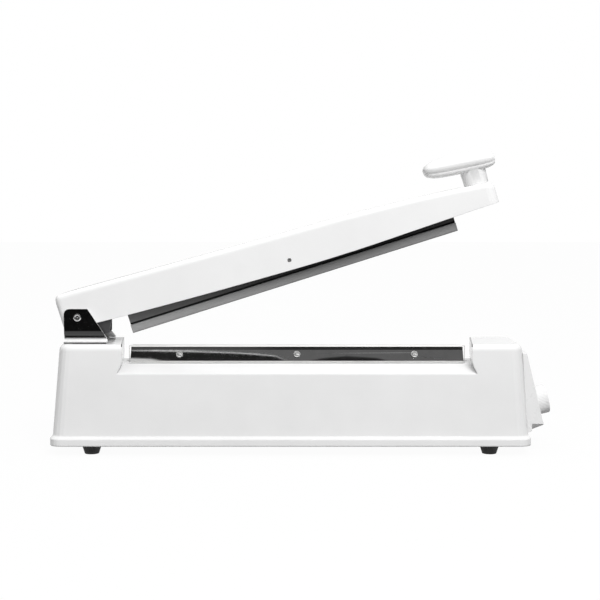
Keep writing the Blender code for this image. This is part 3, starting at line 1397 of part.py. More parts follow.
clear_scene()
PARTS = collection("heat_sealer")
CUTTERS = collection("cutters")
ROOT = empty("base_frame", ((BASE_HALF - knob_reach()) / 2, 0, 0))
ARM = empty("arm_axis", (PIVOT_X, 0, PIVOT_Z), (0, -OPEN_ANGLE, 0), ROOT)
ROCKER = empty("rocker_axis", (ROCK_X, 0, -ROCK_DEPTH), (0, -ROCK_ANGLE, 0), ARM)
KNOB = knob_frame(ROOT)

base_housing()
bottom_plate()
feet()
seal_bar()
heating_parts()
cloth_and_clamps()
hinge_ears()
hinge_pin()
arm_cover()
arm_channel()
pressure_bar()
handle()
return_plunger()
timer_panel()
indicator_lamp()
timer_knob()
timer_inside()
transformer()
cord_inlet()
finish()
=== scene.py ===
"""Looks of a tabletop heat sealer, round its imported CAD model: materials, fine pieces and studio."""

import json
import math

import bmesh
import bpy
from mathutils import Matrix, Vector

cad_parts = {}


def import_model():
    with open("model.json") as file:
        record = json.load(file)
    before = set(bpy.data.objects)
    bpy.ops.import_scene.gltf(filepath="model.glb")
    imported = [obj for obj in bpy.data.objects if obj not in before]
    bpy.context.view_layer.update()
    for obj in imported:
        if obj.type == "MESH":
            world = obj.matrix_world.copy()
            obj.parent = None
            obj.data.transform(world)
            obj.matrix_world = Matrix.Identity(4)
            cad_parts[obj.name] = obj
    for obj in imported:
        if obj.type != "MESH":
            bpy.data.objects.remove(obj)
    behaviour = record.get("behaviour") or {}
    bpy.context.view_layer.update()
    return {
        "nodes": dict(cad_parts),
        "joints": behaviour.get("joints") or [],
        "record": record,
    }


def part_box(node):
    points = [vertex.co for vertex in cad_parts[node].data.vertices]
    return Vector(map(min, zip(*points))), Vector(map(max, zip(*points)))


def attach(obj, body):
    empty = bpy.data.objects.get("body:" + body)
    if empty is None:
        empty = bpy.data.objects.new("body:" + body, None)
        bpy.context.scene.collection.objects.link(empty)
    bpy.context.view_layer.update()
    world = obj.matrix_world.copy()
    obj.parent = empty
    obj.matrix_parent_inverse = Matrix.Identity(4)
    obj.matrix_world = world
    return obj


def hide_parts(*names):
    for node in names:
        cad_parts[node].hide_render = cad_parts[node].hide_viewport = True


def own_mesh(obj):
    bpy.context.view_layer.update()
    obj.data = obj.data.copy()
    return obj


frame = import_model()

NODES = frame["nodes"]
RECORD = frame["record"]
JOINTS = {joint["name"]: joint for joint in frame["joints"]}
BODY_OF = {node: body for body, nodes in RECORD["behaviour"]["bodies"].items() for node in nodes}

MM = 0.001

# The arm's own frame: x along the arm from the pivot, z up from it
OPEN_ANGLE = math.radians(16.83)
PIVOT = Vector(JOINTS["arm_hinge"]["pos_m"])
ARM_FRAME = Matrix.Translation(PIVOT) @ Matrix.Rotation(-OPEN_ANGLE, 4, "Y")

# The knob's own frame: z out of the panel's face
KNOB_SEAT = Vector(JOINTS["timer_turn"]["pos_m"])
KNOB_AXIS = Vector(JOINTS["timer_turn"]["axis"]).normalized()


def new_material(name):
    material = bpy.data.materials.new(name)
    material.use_nodes = True
    material.node_tree.nodes.clear()
    return material


def add(tree, kind, inputs=(), **settings):
    """A node with its settings and inputs; an input is a value or another node's output."""
    made = tree.nodes.new(kind)
    for name, value in settings.items():
        setattr(made, name, value)
    for name, value in dict(inputs).items():
        if isinstance(value, bpy.types.NodeSocket):
            tree.links.new(value, made.inputs[name])
        else:
            made.inputs[name].default_value = value
    return made


def colour(value):
    return (*value, 1) if hasattr(value, "__len__") else (value, value, value, 1)


def place(tree, stretch=(1, 1, 1)):
    """Metres in the piece's own space, stretched along an axis for grain that runs one way."""
    spot = add(tree, "ShaderNodeTexCoord").outputs["Object"]
    return add(tree, "ShaderNodeMapping", {"Vector": spot, "Scale": stretch}).outputs["Vector"]


def noise(tree, spot, size, detail=3.0, roughness=0.55):
    inputs = {"Vector": spot, "Scale": 1 / size, "Detail": detail, "Roughness": roughness}
    return add(tree, "ShaderNodeTexNoise", inputs).outputs["Fac"]


def ranged(tree, value, low, high, start=0.3, end=0.7):
    inputs = {"Value": value, "From Min": start, "From Max": end, "To Min": low, "To Max": high}
    return add(tree, "ShaderNodeMapRange", inputs).outputs["Result"]


def maths(tree, kind, a, b=0.0):
    made = add(tree, "ShaderNodeMath", operation=kind)
    for socket, value in zip(made.inputs, (a, b)):
        if isinstance(value, bpy.types.NodeSocket):
            tree.links.new(value, socket)
        else:
            socket.default_value = value
    return made.outputs[0]


def mixed(tree, share, a, b):
    made = add(tree, "ShaderNodeMixRGB", {"Fac": share})
    for name, value in (("Color1", a), ("Color2", b)):
        if isinstance(value, bpy.types.NodeSocket):
            tree.links.new(value, made.inputs[name])
        else:
            made.inputs[name].default_value = colour(value)
    return made.outputs[0]


def part_of(tree, vector, axis):
    return add(tree, "ShaderNodeSeparateXYZ", {"Vector": vector}).outputs[axis]


def level_of(tree, grey):
    """A grey colour as a plain number."""
    return add(tree, "ShaderNodeSeparateColor", {"Color": grey}).outputs[0]


def geometry(tree, output):
    return add(tree, "ShaderNodeNewGeometry").outputs[output]


def bands(tree, spot, pitch, axis):
    """A smooth 0 to 1 wave along one axis of the piece."""
    inputs = {"Vector": spot, "Scale": math.pi / 10 / pitch}
    return add(tree, "ShaderNodeTexWave", inputs, bands_direction=axis, wave_profile="SIN").outputs["Fac"]


def bumped(tree, height, depth, below=None):
    inputs = {"Height": height, "Strength": 1.0, "Distance": depth}
    if below is not None:
        inputs["Normal"] = below
    return add(tree, "ShaderNodeBump", inputs).outputs["Normal"]


def finish_surface(material, tint, roughness, normal, metallic=0.0, **more):
    tree = material.node_tree
    inputs = {"Base Color": tint, "Roughness": roughness, "Normal": normal, "Metallic": metallic}
    inputs.update({name.replace("_", " "): value for name, value in more.items()})
    surface = add(tree, "ShaderNodeBsdfPrincipled", inputs)
    add(tree, "ShaderNodeOutputMaterial", {"Surface": surface.outputs["BSDF"]})
    return material


def edge_share(tree, radius):
    """Near 1 along sharp edges and 0 on open faces."""
    rounded = add(tree, "ShaderNodeBevel", {"Radius": radius}, samples=4).outputs["Normal"]
    inputs = {0: rounded, 1: geometry(tree, "Normal")}
    likeness = add(tree, "ShaderNodeVectorMath", inputs, operation="DOT_PRODUCT")
    return ranged(tree, likeness.outputs["Value"], 1.0, 0.0, 0.75, 0.995)


def ramp(tree, value, stops):
    """A colour ramp through (place, level) stops."""
    made = add(tree, "ShaderNodeValToRGB", {"Fac": value})
    elements = made.color_ramp.elements
    while len(elements) < len(stops):
        elements.new(0.5)
    for element, (spot, level) in zip(elements, stops):
        element.position = spot
        element.color = colour(level)
    return made.outputs["Color"]


# Stretches that draw a grain out along a piece
DRAWN = (0.05, 1, 1)
LONG_DRAWN = (0.03, 1, 1)

# Painted shade: dark lines at the ends of the housing's recess, where its end walls fall in shadow
LINE_MIDDLE = -5.86 * MM
LINE_REACH = 157.3 * MM
LINE_SPREAD = 0.109
LINE_HALF = 0.8 * MM
LINE_DEPTH = 2.2 * MM
SHADE_LINE_TONE = 0.02

# Where a hinge ear starts to curve, and where it turns from chrome to pale matt as a painted reflection, as
# drops from its pivot
EAR_CURVE_DROP = 11.4 * MM
EAR_CURVE_RUN = 1.5 * MM
EAR_LEAN = 0.07
EAR_REFLECTION_DROP = 17.8 * MM
EAR_REFLECTION_RUN = 2.0 * MM
EAR_REFLECTION_METALLIC = 0.12
EAR_SHEET = 1.5 * MM
EAR_EDGE_RUN = 0.15 * MM
EAR_CUT_REFLECTION_METALLIC = 0.1
EAR_CUT_TURN = (0.12, 0.25)

# Painted light and shade: tones of the pressure strip and its holder from their left ends to their right,
# paler where more light falls on them
HOLDER_PAINTED_LIGHT = ((0.0, 0.25), (0.22, 0.19), (0.42, 0.055), (0.65, 0.006), (0.85, 0.02), (1.0, 0.07))
STRIP_PAINTED_LIGHT = ((0.0, 0.36), (0.3, 0.33), (0.6, 0.27), (1.0, 0.28))
# Painted shade: the holder's lowest band is black where the gap above the strip is in shadow
HOLDER_SHADE_HEIGHT = 1.7 * MM
HOLDER_SHADE_TONE = 0.004
HOLDER_END = 8 * MM

# How a clamp plate's lean wanders from its left end to its right, and how much it bows down its slope
KNEE_RISE = 8.7 * MM
PLATE_LEAN = 0.10
PLATE_TWIST = (
    (0.0, 0.0),
    (0.17, 0.05),
    (0.30, 0.13),
    (0.375, 0.22),
    (0.435, 0.34),
    (0.465, 0.58),
    (0.52, 0.75),
    (0.58, 0.50),
    (0.65, 0.38),
    (0.74, 0.50),
    (0.79, 0.74),
    (1.0, 0.80),
)
PLATE_BOW = ((0.0, 0.95), (0.06, 0.88), (0.11, 0.60), (1.0, 0.60))


def recess_lines(tree, spot):
    """Painted shade: a dark line along the top of each end wall of the housing's recess, where the wall is in
    shadow, which spreads towards the back.
    """
    out = maths(tree, "ABSOLUTE", maths(tree, "SUBTRACT", part_of(tree, spot, "X"), LINE_MIDDLE))
    out = maths(tree, "SUBTRACT", out, maths(tree, "MULTIPLY", part_of(tree, spot, "Y"), LINE_SPREAD))
    away = maths(tree, "ABSOLUTE", maths(tree, "SUBTRACT", out, LINE_REACH))
    near = ranged(tree, away, 1, 0, LINE_HALF * 0.8, LINE_HALF * 1.2)
    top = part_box("base_housing")[1].z
    high = ranged(tree, part_of(tree, spot, "Z"), 0, 1, top - LINE_DEPTH * 1.1, top - LINE_DEPTH * 0.9)
    return maths(tree, "MULTIPLY", near, high)


MOTTLE = 0.02
RUBBED_SMOOTHER = 0.08
SMUDGED_DARKER = 0.94
RUBBED_BRIGHTER = 1.3


def moulded(name, tint, roughness, soft=None, lines=None):
    """Injection-moulded plastic: faint clouding, a fine grain, and edges rubbed a little smoother and a
    little lighter, partly wear and partly a painted highlight.

    soft rounds its edges in the shading, and lines(tree, spot) gives the share of painted shade lines on it.
    """
    material = new_material(name)
    tree = material.node_tree
    spot = place(tree)
    cloud = noise(tree, spot, 45 * MM)
    dark = [c * (1 - MOTTLE) for c in tint]
    light = [min(1, c * (1 + MOTTLE)) for c in tint]
    paint = mixed(tree, ranged(tree, cloud, 0, 1), dark, light)
    edge = edge_share(tree, 0.5 * MM)
    # edges a little lighter: partly wear, partly a painted highlight
    paint = mixed(tree, maths(tree, "MULTIPLY", edge, 0.5), paint, light)
    # painted shade: dark lines where the surface falls in shadow
    if lines:
        paint = mixed(tree, lines(tree, spot), paint, SHADE_LINE_TONE)
    smear = ranged(tree, noise(tree, spot, 12 * MM), roughness * 0.8, roughness * 1.2)
    rough = maths(tree, "SUBTRACT", smear, maths(tree, "MULTIPLY", edge, RUBBED_SMOOTHER * roughness))
    rounded = add(tree, "ShaderNodeBevel", {"Radius": soft}, samples=8).outputs["Normal"] if soft else None
    normal = bumped(tree, noise(tree, spot, 0.35 * MM, 2), 0.003 * MM, rounded)
    return finish_surface(material, paint, rough, normal, IOR=1.5)


def metal(name, tint, roughness, brush=(1, 1, 1), brush_size=0.5 * MM, depth=0.002 * MM, metallic=1.0):
    """Bare or plated metal: brushed or polished, with smudges, and brighter along its edges."""
    material = new_material(name)
    tree = material.node_tree
    spot = place(tree)
    cloud = ranged(tree, noise(tree, spot, 18 * MM), 0, 1)
    base = mixed(tree, cloud, [c * SMUDGED_DARKER for c in tint], tint)
    edge = edge_share(tree, 0.25 * MM)
    worn = [min(1, c * RUBBED_BRIGHTER) for c in tint]
    paint = mixed(tree, edge, base, worn)
    rough = ranged(tree, noise(tree, spot, 7 * MM, 5), roughness * 0.7, roughness * 1.3)
    grain = noise(tree, place(tree, brush), brush_size, 2)
    normal = bumped(tree, grain, depth)
    return finish_surface(material, paint, rough, normal, metallic)


def plate_lean(tree, spot):
    """A clamp plate's lean changes along the bar and down its slope."""
    low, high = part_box("clamp_plate_front")
    along = ranged(tree, part_of(tree, spot, "X"), 0, 1, low.x, high.x)
    down = ranged(tree, part_of(tree, spot, "Z"), 0, 1, low.z + KNEE_RISE, low.z)
    twist = level_of(tree, ramp(tree, along, PLATE_TWIST))
    bow = level_of(tree, ramp(tree, along, PLATE_BOW))
    lean = maths(tree, "SUBTRACT", twist, maths(tree, "MULTIPLY", down, bow))
    return maths(tree, "MULTIPLY", lean, PLATE_LEAN)


def ear_lean(tree, spot):
    """A hinge ear begins to curve a little above its bend."""
    start = PIVOT.z - EAR_CURVE_DROP
    return ranged(tree, part_of(tree, spot, "Z"), 0, EAR_LEAN, start, start - EAR_CURVE_RUN)


def ear_shine(tree, spot):
    """Painted reflection and highlight: a hinge ear's bent foot and its slanted cut edge turn from chrome to
    pale matt, standing in for the white housing reflected in the bend and the light caught on the edge.
    """
    height = part_of(tree, spot, "Z")
    start = PIVOT.z - EAR_REFLECTION_DROP
    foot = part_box("base_housing")[1].z + EAR_SHEET
    bent = ranged(tree, height, 1.0, EAR_REFLECTION_METALLIC, start, start - EAR_REFLECTION_RUN)
    shine = maths(tree, "MAXIMUM", bent, ranged(tree, height, 0.0, 1.0, foot, foot - EAR_EDGE_RUN))
    rightward = part_of(tree, geometry(tree, "True Normal"), "X")
    return maths(tree, "MULTIPLY", shine, ranged(tree, rightward, 1.0, EAR_CUT_REFLECTION_METALLIC, *EAR_CUT_TURN))


def chrome_sheet(name, leaning, dull_tint, clean_tint, shining=None):
    """Chromed sheet that isn't quite flat."""
    material = new_material(name)
    tree = material.node_tree
    spot = place(tree)
    lift = add(tree, "ShaderNodeCombineXYZ", {"Z": leaning(tree, spot)}).outputs["Vector"]
    inputs = {0: geometry(tree, "Normal"), 1: lift}
    leant = add(tree, "ShaderNodeVectorMath", inputs, operation="ADD").outputs["Vector"]
    unit = add(tree, "ShaderNodeVectorMath", {0: leant}, operation="NORMALIZE").outputs["Vector"]
    dull = ranged(tree, noise(tree, spot, 9 * MM, 5), 0, 1)
    paint = mixed(tree, dull, dull_tint, clean_tint)
    rough = ranged(tree, noise(tree, spot, 5 * MM, 5), 0.03, 0.07)
    shine = shining(tree, spot) if shining else 1.0
    normal = bumped(tree, dull, 0.0006 * MM, unit)
    return finish_surface(material, paint, rough, normal, shine)


def rubber(name, tint, roughness):
    """Matt rubber with a pebbled skin and pale dust in it."""
    material = new_material(name)
    tree = material.node_tree
    spot = place(tree)
    dust = ranged(tree, noise(tree, spot, 2.5 * MM, 6, 0.7), 0, 0.35, 0.5, 0.8)
    paint = mixed(tree, dust, tint, [c * 2 + 0.01 for c in tint])
    rough = ranged(tree, noise(tree, spot, 4 * MM), roughness - 0.08, roughness + 0.08)
    return finish_surface(material, paint, rough, bumped(tree, noise(tree, spot, 0.3 * MM), 0.02 * MM))


def along_piece(tree, spot, node):
    """0 at a node's left end and 1 at its right."""
    low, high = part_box(node)
    return ranged(tree, part_of(tree, spot, "X"), 0, 1, low.x, high.x)


def over_edge(tree, spot):
    """Height over the lower edge of the pressure strip's holder, which rises to the right."""
    points = [v.co for v in NODES["strip_holder"].data.vertices]
    lowest = []
    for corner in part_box("strip_holder"):
        near = [p for p in points if abs(p.x - corner.x) < HOLDER_END]
        lowest.append(min(near, key=lambda p: p.z))
    left, right = lowest
    rise = (right.z - left.z) / (right.x - left.x)
    line = maths(tree, "MULTIPLY", maths(tree, "SUBTRACT", part_of(tree, spot, "X"), left.x), rise)
    return maths(tree, "SUBTRACT", maths(tree, "SUBTRACT", part_of(tree, spot, "Z"), left.z), line)


def anodised():
    """Dark anodised aluminium, drawn along its length, with painted light that makes it paler towards its
    left end and painted shade that makes its lower lip black.
    """
    material = new_material("dark_anodised")
    tree = material.node_tree
    spot = place(tree)
    grain = noise(tree, place(tree, LONG_DRAWN), 0.3 * MM, 3)
    # painted light: paler towards the left end
    tone = ramp(tree, along_piece(tree, spot, "strip_holder"), HOLDER_PAINTED_LIGHT)
    paint = mixed(tree, ranged(tree, grain, 0, 0.12), tone, 0.16)
    # painted shade along the lower lip
    lip = ranged(tree, over_edge(tree, spot), 1, 0, HOLDER_SHADE_HEIGHT * 0.8, HOLDER_SHADE_HEIGHT)
    paint = mixed(tree, lip, paint, HOLDER_SHADE_TONE)
    rough = ranged(tree, noise(tree, spot, 7 * MM, 5), 0.30, 0.42)
    return finish_surface(material, paint, rough, bumped(tree, grain, 0.004 * MM), 0.2)


def drawn_silicone():
    """Heat-proof silicone strip: fine lines along its length, a speckle of filler, and painted light that
    makes it paler towards its left end.
    """
    material = new_material("silicone_strip")
    tree = material.node_tree
    spot = place(tree)
    lines = noise(tree, place(tree, LONG_DRAWN), 0.35 * MM, 4, 0.7)
    specks = noise(tree, spot, 0.5 * MM, 2, 0.7)
    # painted light: paler towards the left end
    tone = ramp(tree, along_piece(tree, spot, "seal_strip"), STRIP_PAINTED_LIGHT)
    paint = mixed(tree, ranged(tree, lines, 0.35, 0, 0.35, 0.65), tone, 0.12)
    paint = mixed(tree, ranged(tree, specks, 0, 0.5, 0.58, 0.72), paint, 0.45)
    rough = ranged(tree, noise(tree, spot, 6 * MM), 0.5, 0.66)
    normal = bumped(tree, lines, 0.02 * MM, bumped(tree, specks, 0.01 * MM))
    return finish_surface(material, paint, rough, normal)


def weave(name, light, dark, pitch, roughness):
    """Glass cloth: two crossed sets of threads with uneven tone."""
    material = new_material(name)
    tree = material.node_tree
    spot = place(tree)
    warp = bands(tree, spot, pitch, "X")
    weft = bands(tree, spot, pitch, "Y")
    over = maths(tree, "GREATER_THAN", maths(tree, "SUBTRACT", warp, weft), 0.0)
    thread = maths(tree, "MAXIMUM", warp, weft)
    tone = maths(tree, "MULTIPLY", thread, ranged(tree, noise(tree, spot, 3 * MM, 4), 0.75, 1.0))
    paint = mixed(tree, tone, dark, light)
    paint = mixed(tree, maths(tree, "MULTIPLY", over, 0.12), paint, dark)
    stain = ranged(tree, noise(tree, place(tree, (0.2, 1, 1)), 14 * MM, 4), 0, 0.3, 0.5, 0.75)
    paint = mixed(tree, stain, paint, [c * 0.75 for c in dark])
    rough = ranged(tree, thread, roughness + 0.12, roughness)
    return finish_surface(material, paint, rough, bumped(tree, thread, 0.03 * MM))


def laminated(name, tint, pitch, axis):
    """A stack of thin varnished steel sheets."""
    material = new_material(name)
    tree = material.node_tree
    spot = place(tree)
    sheet = bands(tree, spot, pitch, axis)
    rust = ranged(tree, noise(tree, spot, 5 * MM, 6, 0.65), 0, 0.5, 0.55, 0.8)
    paint = mixed(tree, ranged(tree, sheet, 0, 1, 0.1, 0.5), [c * 0.4 for c in tint], tint)
    paint = mixed(tree, rust, paint, (0.16, 0.075, 0.035))
    rough = ranged(tree, noise(tree, spot, 3 * MM), 0.4, 0.6)
    return finish_surface(material, paint, rough, bumped(tree, sheet, 0.05 * MM), 0.6)


def wound_tape(name, light, dark, pitch):
    """Lapped insulating tape with a slightly wrinkled, varnished skin."""
    material = new_material(name)
    tree = material.node_tree
    spot = place(tree)
    lap = bands(tree, spot, pitch, "Z")
    wrinkle = noise(tree, place(tree, (1, 1, 0.3)), 2.2 * MM, 5, 0.6)
    paint = mixed(tree, ranged(tree, wrinkle, 0, 1), dark, light)
    paint = mixed(tree, ranged(tree, lap, 0.4, 0, 0.0, 0.2), paint, [c * 0.5 for c in dark])
    rough = ranged(tree, wrinkle, 0.25, 0.45)
    normal = bumped(tree, wrinkle, 0.12 * MM, bumped(tree, lap, 0.1 * MM))
    return finish_surface(material, paint, rough, normal, Coat_Weight=0.4, Coat_Roughness=0.2)


def printed_board():
    """Solder mask with paler tracks and tinned pads."""
    material = new_material("printed_board")
    tree = material.node_tree
    spot = place(tree)
    cells = add(tree, "ShaderNodeTexVoronoi", {"Vector": spot, "Scale": 1 / (4 * MM)}, distance="MANHATTAN")
    track = ranged(tree, cells.outputs["Distance"], 1, 0, 0.25, 0.32)
    pads = add(tree, "ShaderNodeTexVoronoi", {"Vector": spot, "Scale": 1 / (2.54 * MM), "Randomness": 0.3})
    pad = ranged(tree, pads.outputs["Distance"], 1, 0, 0.18, 0.22)
    paint = mixed(tree, track, (0.010, 0.085, 0.030), (0.030, 0.180, 0.060))
    paint = mixed(tree, pad, paint, (0.55, 0.55, 0.52))
    rough = ranged(tree, noise(tree, spot, 5 * MM), 0.25, 0.4)
    return finish_surface(material, paint, rough, bumped(tree, track, 0.03 * MM))


def lens():
    """Red lens with fine moulded rings."""
    material = new_material("red_lens")
    tree = material.node_tree
    spot = place(tree)
    cloud = noise(tree, spot, 1.5 * MM)
    paint = mixed(tree, ranged(tree, cloud, 0, 1), (0.42, 0.012, 0.010), (0.60, 0.030, 0.020))
    rough = ranged(tree, cloud, 0.08, 0.16)
    normal = bumped(tree, bands(tree, spot, 0.5 * MM, "Z"), 0.02 * MM)
    return finish_surface(material, paint, rough, normal, Transmission_Weight=0.35, IOR=1.49)


def ink(name, tint):
    """Pad-printed ink, a little uneven."""
    material = new_material(name)
    tree = material.node_tree
    spot = place(tree)
    cloud = noise(tree, spot, 0.6 * MM, 5, 0.7)
    paint = mixed(tree, ranged(tree, cloud, 0, 1), tint, [c * 1.6 + 0.01 for c in tint])
    rough = ranged(tree, cloud, 0.4, 0.6)
    return finish_surface(material, paint, rough, bumped(tree, cloud, 0.005 * MM))


WHITE_PLASTIC = moulded("white_plastic", (0.80, 0.80, 0.80), 0.13)
# The housing carries painted shade lines at the ends of its recess
HOUSING_PLASTIC = moulded("housing_plastic", (0.80, 0.80, 0.80), 0.13, soft=1.8 * MM, lines=recess_lines)
# Paler than the housing's plastic: partly a different plastic, partly painted light, as the arm sits higher
# and catches more light
ARM_PLASTIC = moulded("arm_plastic", (0.86, 0.86, 0.86), 0.16, soft=0.7 * MM)
PANEL_PLASTIC = moulded("panel_plastic", (0.79, 0.79, 0.79), 0.28)
BLACK_PLASTIC = moulded("black_plastic", (0.022, 0.022, 0.023), 0.35)
BLACK_RUBBER = rubber("black_rubber", (0.012, 0.012, 0.012), 0.72)
PLATE_CHROME = chrome_sheet("plate_chrome", plate_lean, 0.70, 0.76)
# The ears' chrome is paler than the plates' chrome and turns pale matt at its bend and cut edge, as a painted
# reflection and highlight
EAR_CHROME = chrome_sheet("ear_chrome", ear_lean, 0.86, 0.92, ear_shine)
PIN_CHROME = metal("pin_chrome", (0.74, 0.74, 0.74), 0.12, brush_size=2 * MM, depth=0.001 * MM)
SCREW_STEEL = metal("screw_steel", (0.97, 0.97, 0.96), 0.18, brush_size=0.3 * MM, metallic=0.76)
BRIGHT_STEEL = metal("bright_steel", (0.86, 0.86, 0.85), 0.22, brush_size=0.3 * MM, metallic=0.8)
ZINC_STEEL = metal("zinc_steel", (0.52, 0.53, 0.54), 0.32, brush_size=1.5 * MM)
SPRING_STEEL = metal("spring_steel", (0.42, 0.42, 0.43), 0.28)
CHANNEL_STEEL = metal("channel_steel", (0.085, 0.085, 0.088), 0.38, DRAWN, 0.4 * MM, 0.006 * MM, 0.5)
ALUMINIUM = metal("drawn_aluminium", (0.60, 0.60, 0.61), 0.30, LONG_DRAWN, 0.3 * MM, 0.004 * MM)
DARK_ANODISED = anodised()
NICHROME = metal("nichrome", (0.62, 0.61, 0.60), 0.3, DRAWN, 0.2 * MM)
BRASS = metal("brass", (0.60, 0.42, 0.16), 0.28)
SILICONE = drawn_silicone()
CLOTH = weave("coated_cloth", (0.93, 0.93, 0.92), (0.82, 0.815, 0.80), 0.7 * MM, 0.38)
GLASS_TAPE = weave("glass_tape", (0.62, 0.60, 0.55), (0.42, 0.40, 0.36), 0.5 * MM, 0.5)
LAMINATIONS = laminated("laminations", (0.22, 0.21, 0.21), 0.5 * MM, "Y")
COIL_TAPE = wound_tape("coil_tape", (0.50, 0.36, 0.10), (0.38, 0.25, 0.06), 5 * MM)
BOARD = printed_board()
BUTTON_PLASTIC = moulded("button_plastic", (0.32, 0.03, 0.02), 0.4)
LENS = lens()
INK = ink("dial_ink", (0.09, 0.09, 0.092))

MATERIAL_OF = {
    "base_housing": HOUSING_PLASTIC,
    "arm_cover": ARM_PLASTIC,
    "timer_panel": PANEL_PLASTIC,
    "bottom_plate": ZINC_STEEL,
    "seal_bar": ALUMINIUM,
    "insulation_tape": GLASS_TAPE,
    "heating_strip": NICHROME,
    "terminal": BRASS,
    "clamp_plate": PLATE_CHROME,
    "hinge_ear": EAR_CHROME,
    "ear_nut": BRIGHT_STEEL,
    "hinge_nut": BRIGHT_STEEL,
    "pivot_bush": BRASS,
    "rock_pin": BRIGHT_STEEL,
    "arm_channel": CHANNEL_STEEL,
    "strip_holder": DARK_ANODISED,
    "seal_strip": SILICONE,
    "return_plunger": BLACK_PLASTIC,
    "switch_bracket": ZINC_STEEL,
    "micro_switch": BLACK_PLASTIC,
    "switch_button": BUTTON_PLASTIC,
    "indicator_lamp": LENS,
    "timer_shaft": ALUMINIUM,
    "potentiometer_nut": BRASS,
    "potentiometer": ZINC_STEEL,
    "circuit_board": BOARD,
    "transformer_core": LAMINATIONS,
    "transformer_coil": COIL_TAPE,
    "cord_grommet": BLACK_PLASTIC,
    "foot_screw": ZINC_STEEL,
    "foot": BLACK_RUBBER,
    "bar_screw": BRIGHT_STEEL,
    "handle_screw": ZINC_STEEL,
}

# Small edge rounds, in metres, on the nodes that keep their CAD shape
EDGE_ROUND = {
    "hinge_ear": 0.45 * MM,
    "ear_nut": 0.15 * MM,
    "strip_holder": 0.2 * MM,
    "clamp_plate": 0.12 * MM,
    "timer_panel": 0.3 * MM,
    "transformer_core": 0.4 * MM,
    "switch_bracket": 0.2 * MM,
    "micro_switch": 0.4 * MM,
    "circuit_board": 0.1 * MM,
}
ROUNDED_FROM = math.radians(35)
WELD_REACH = 0.001 * MM


def by_prefix(table, name):
    """The entry whose key is the longest start of the name."""
    keys = [key for key in table if name.startswith(key)]
    return table[max(keys, key=len)] if keys else None


def paint_with(piece, material):
    piece.data.materials.clear()
    piece.data.materials.append(material)


def dress_nodes():
    for name, node in NODES.items():
        material = by_prefix(MATERIAL_OF, name)
        if material is None:
            continue
        paint_with(node, material)
        radius = by_prefix(EDGE_ROUND, name)
        if radius is None:
            continue
        weld = node.modifiers.new("weld", "WELD")
        weld.merge_threshold = WELD_REACH
        rounding = node.modifiers.new("edge_round", "BEVEL")
        rounding.width = radius
        rounding.segments = 2
        rounding.limit_method = "ANGLE"
        rounding.angle_limit = ROUNDED_FROM
        rounding.harden_normals = False


def slot_of(node):
    """The record's material slot of a node."""
    for entry in RECORD["subparts"]:
        if entry["node"] == node:
            return entry["material_slot"]
    return None


def settled(piece, material, body, slot, *replaced):
    """Give a piece its material, its body and the nodes that it replaces; slot is not used."""
    paint_with(piece, material)
    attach(piece, body)
    if replaced:
        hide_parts(*replaced)


def object_of(name, mesh):
    made = bpy.data.objects.new(name, mesh)
    bpy.context.scene.collection.objects.link(made)
    return made


def smoothed(mesh, degrees):
    """Smooth shading, but for the edges that turn by more than an angle."""
    mesh.shade_smooth()
    mesh.set_sharp_from_angle(angle=math.radians(degrees))


def evaluated_mesh(piece):
    """A new mesh of a piece with its modifiers applied, or of a text as it is drawn."""
    bpy.context.view_layer.update()
    graph = bpy.context.evaluated_depsgraph_get()
    return bpy.data.meshes.new_from_object(piece.evaluated_get(graph))


SAME_POINT = 0.0001 * MM


def skin(name, rings, matrix=Matrix(), closed=True, caps=True, smooth=40):
    """A mesh through rings of equal length; caps close its two ends."""
    bm = bmesh.new()
    rows = [[bm.verts.new(matrix @ Vector(point)) for point in ring] for ring in rings]
    count = len(rings[0])
    for low, high in zip(rows, rows[1:]):
        for i in range(count if closed else count - 1):
            j = (i + 1) % count
            bm.faces.new((low[i], low[j], high[j], high[i]))
    if caps:
        bm.faces.new(reversed(rows[0]))
        bm.faces.new(rows[-1])
    bmesh.ops.remove_doubles(bm, verts=bm.verts, dist=SAME_POINT)
    bmesh.ops.recalc_face_normals(bm, faces=bm.faces)
    mesh = bpy.data.meshes.new(name)
    bm.to_mesh(mesh)
    bm.free()
    smoothed(mesh, smooth)
    return object_of(name, mesh)


def turned(name, profile, matrix=Matrix(), steps=48, wave=None, smooth=40):
    """A profile of (radius, height) turned round z; wave(angle, radius, height) trims the radius."""
    rings = []
    for radius, height in profile:
        ring = []
        for i in range(steps):
            angle = 2 * math.pi * i / steps
            reach = radius - (wave(angle, radius, height) if wave else 0)
            ring.append((reach * math.cos(angle), reach * math.sin(angle), height))
        rings.append(ring)
    return skin(name, rings, matrix, smooth=smooth)


def combine(piece, other, operation, smooth=40):
    """A piece joined with another or cut by it; the other is used up."""
    step = piece.modifiers.new("step", "BOOLEAN")
    step.object = other
    step.operation = operation
    step.solver = "EXACT"
    mesh = evaluated_mesh(piece)
    piece.modifiers.clear()
    piece.data = mesh
    smoothed(mesh, smooth)
    bpy.data.objects.remove(other)
    return piece


def facing(place_at, direction):
    """A frame at a place whose z points along a direction."""
    return Matrix.Translation(place_at) @ Vector(direction).to_track_quat("Z", "Y").to_matrix().to_4x4()


def round_profile(radius, height, edge, steps):
    """The quarter round from a side at radius up to a top at height."""
    points = []
    for i in range(steps + 1):
        angle = math.pi / 2 * i / steps
        points.append((radius - edge + edge * math.cos(angle), height - edge + edge * math.sin(angle)))
    return points


def rectangle(half_length, half_width, height):
    corners = ((-1, -1), (1, -1), (1, 1), (-1, 1))
    return [(half_length * x, half_width * y, height) for x, y in corners]


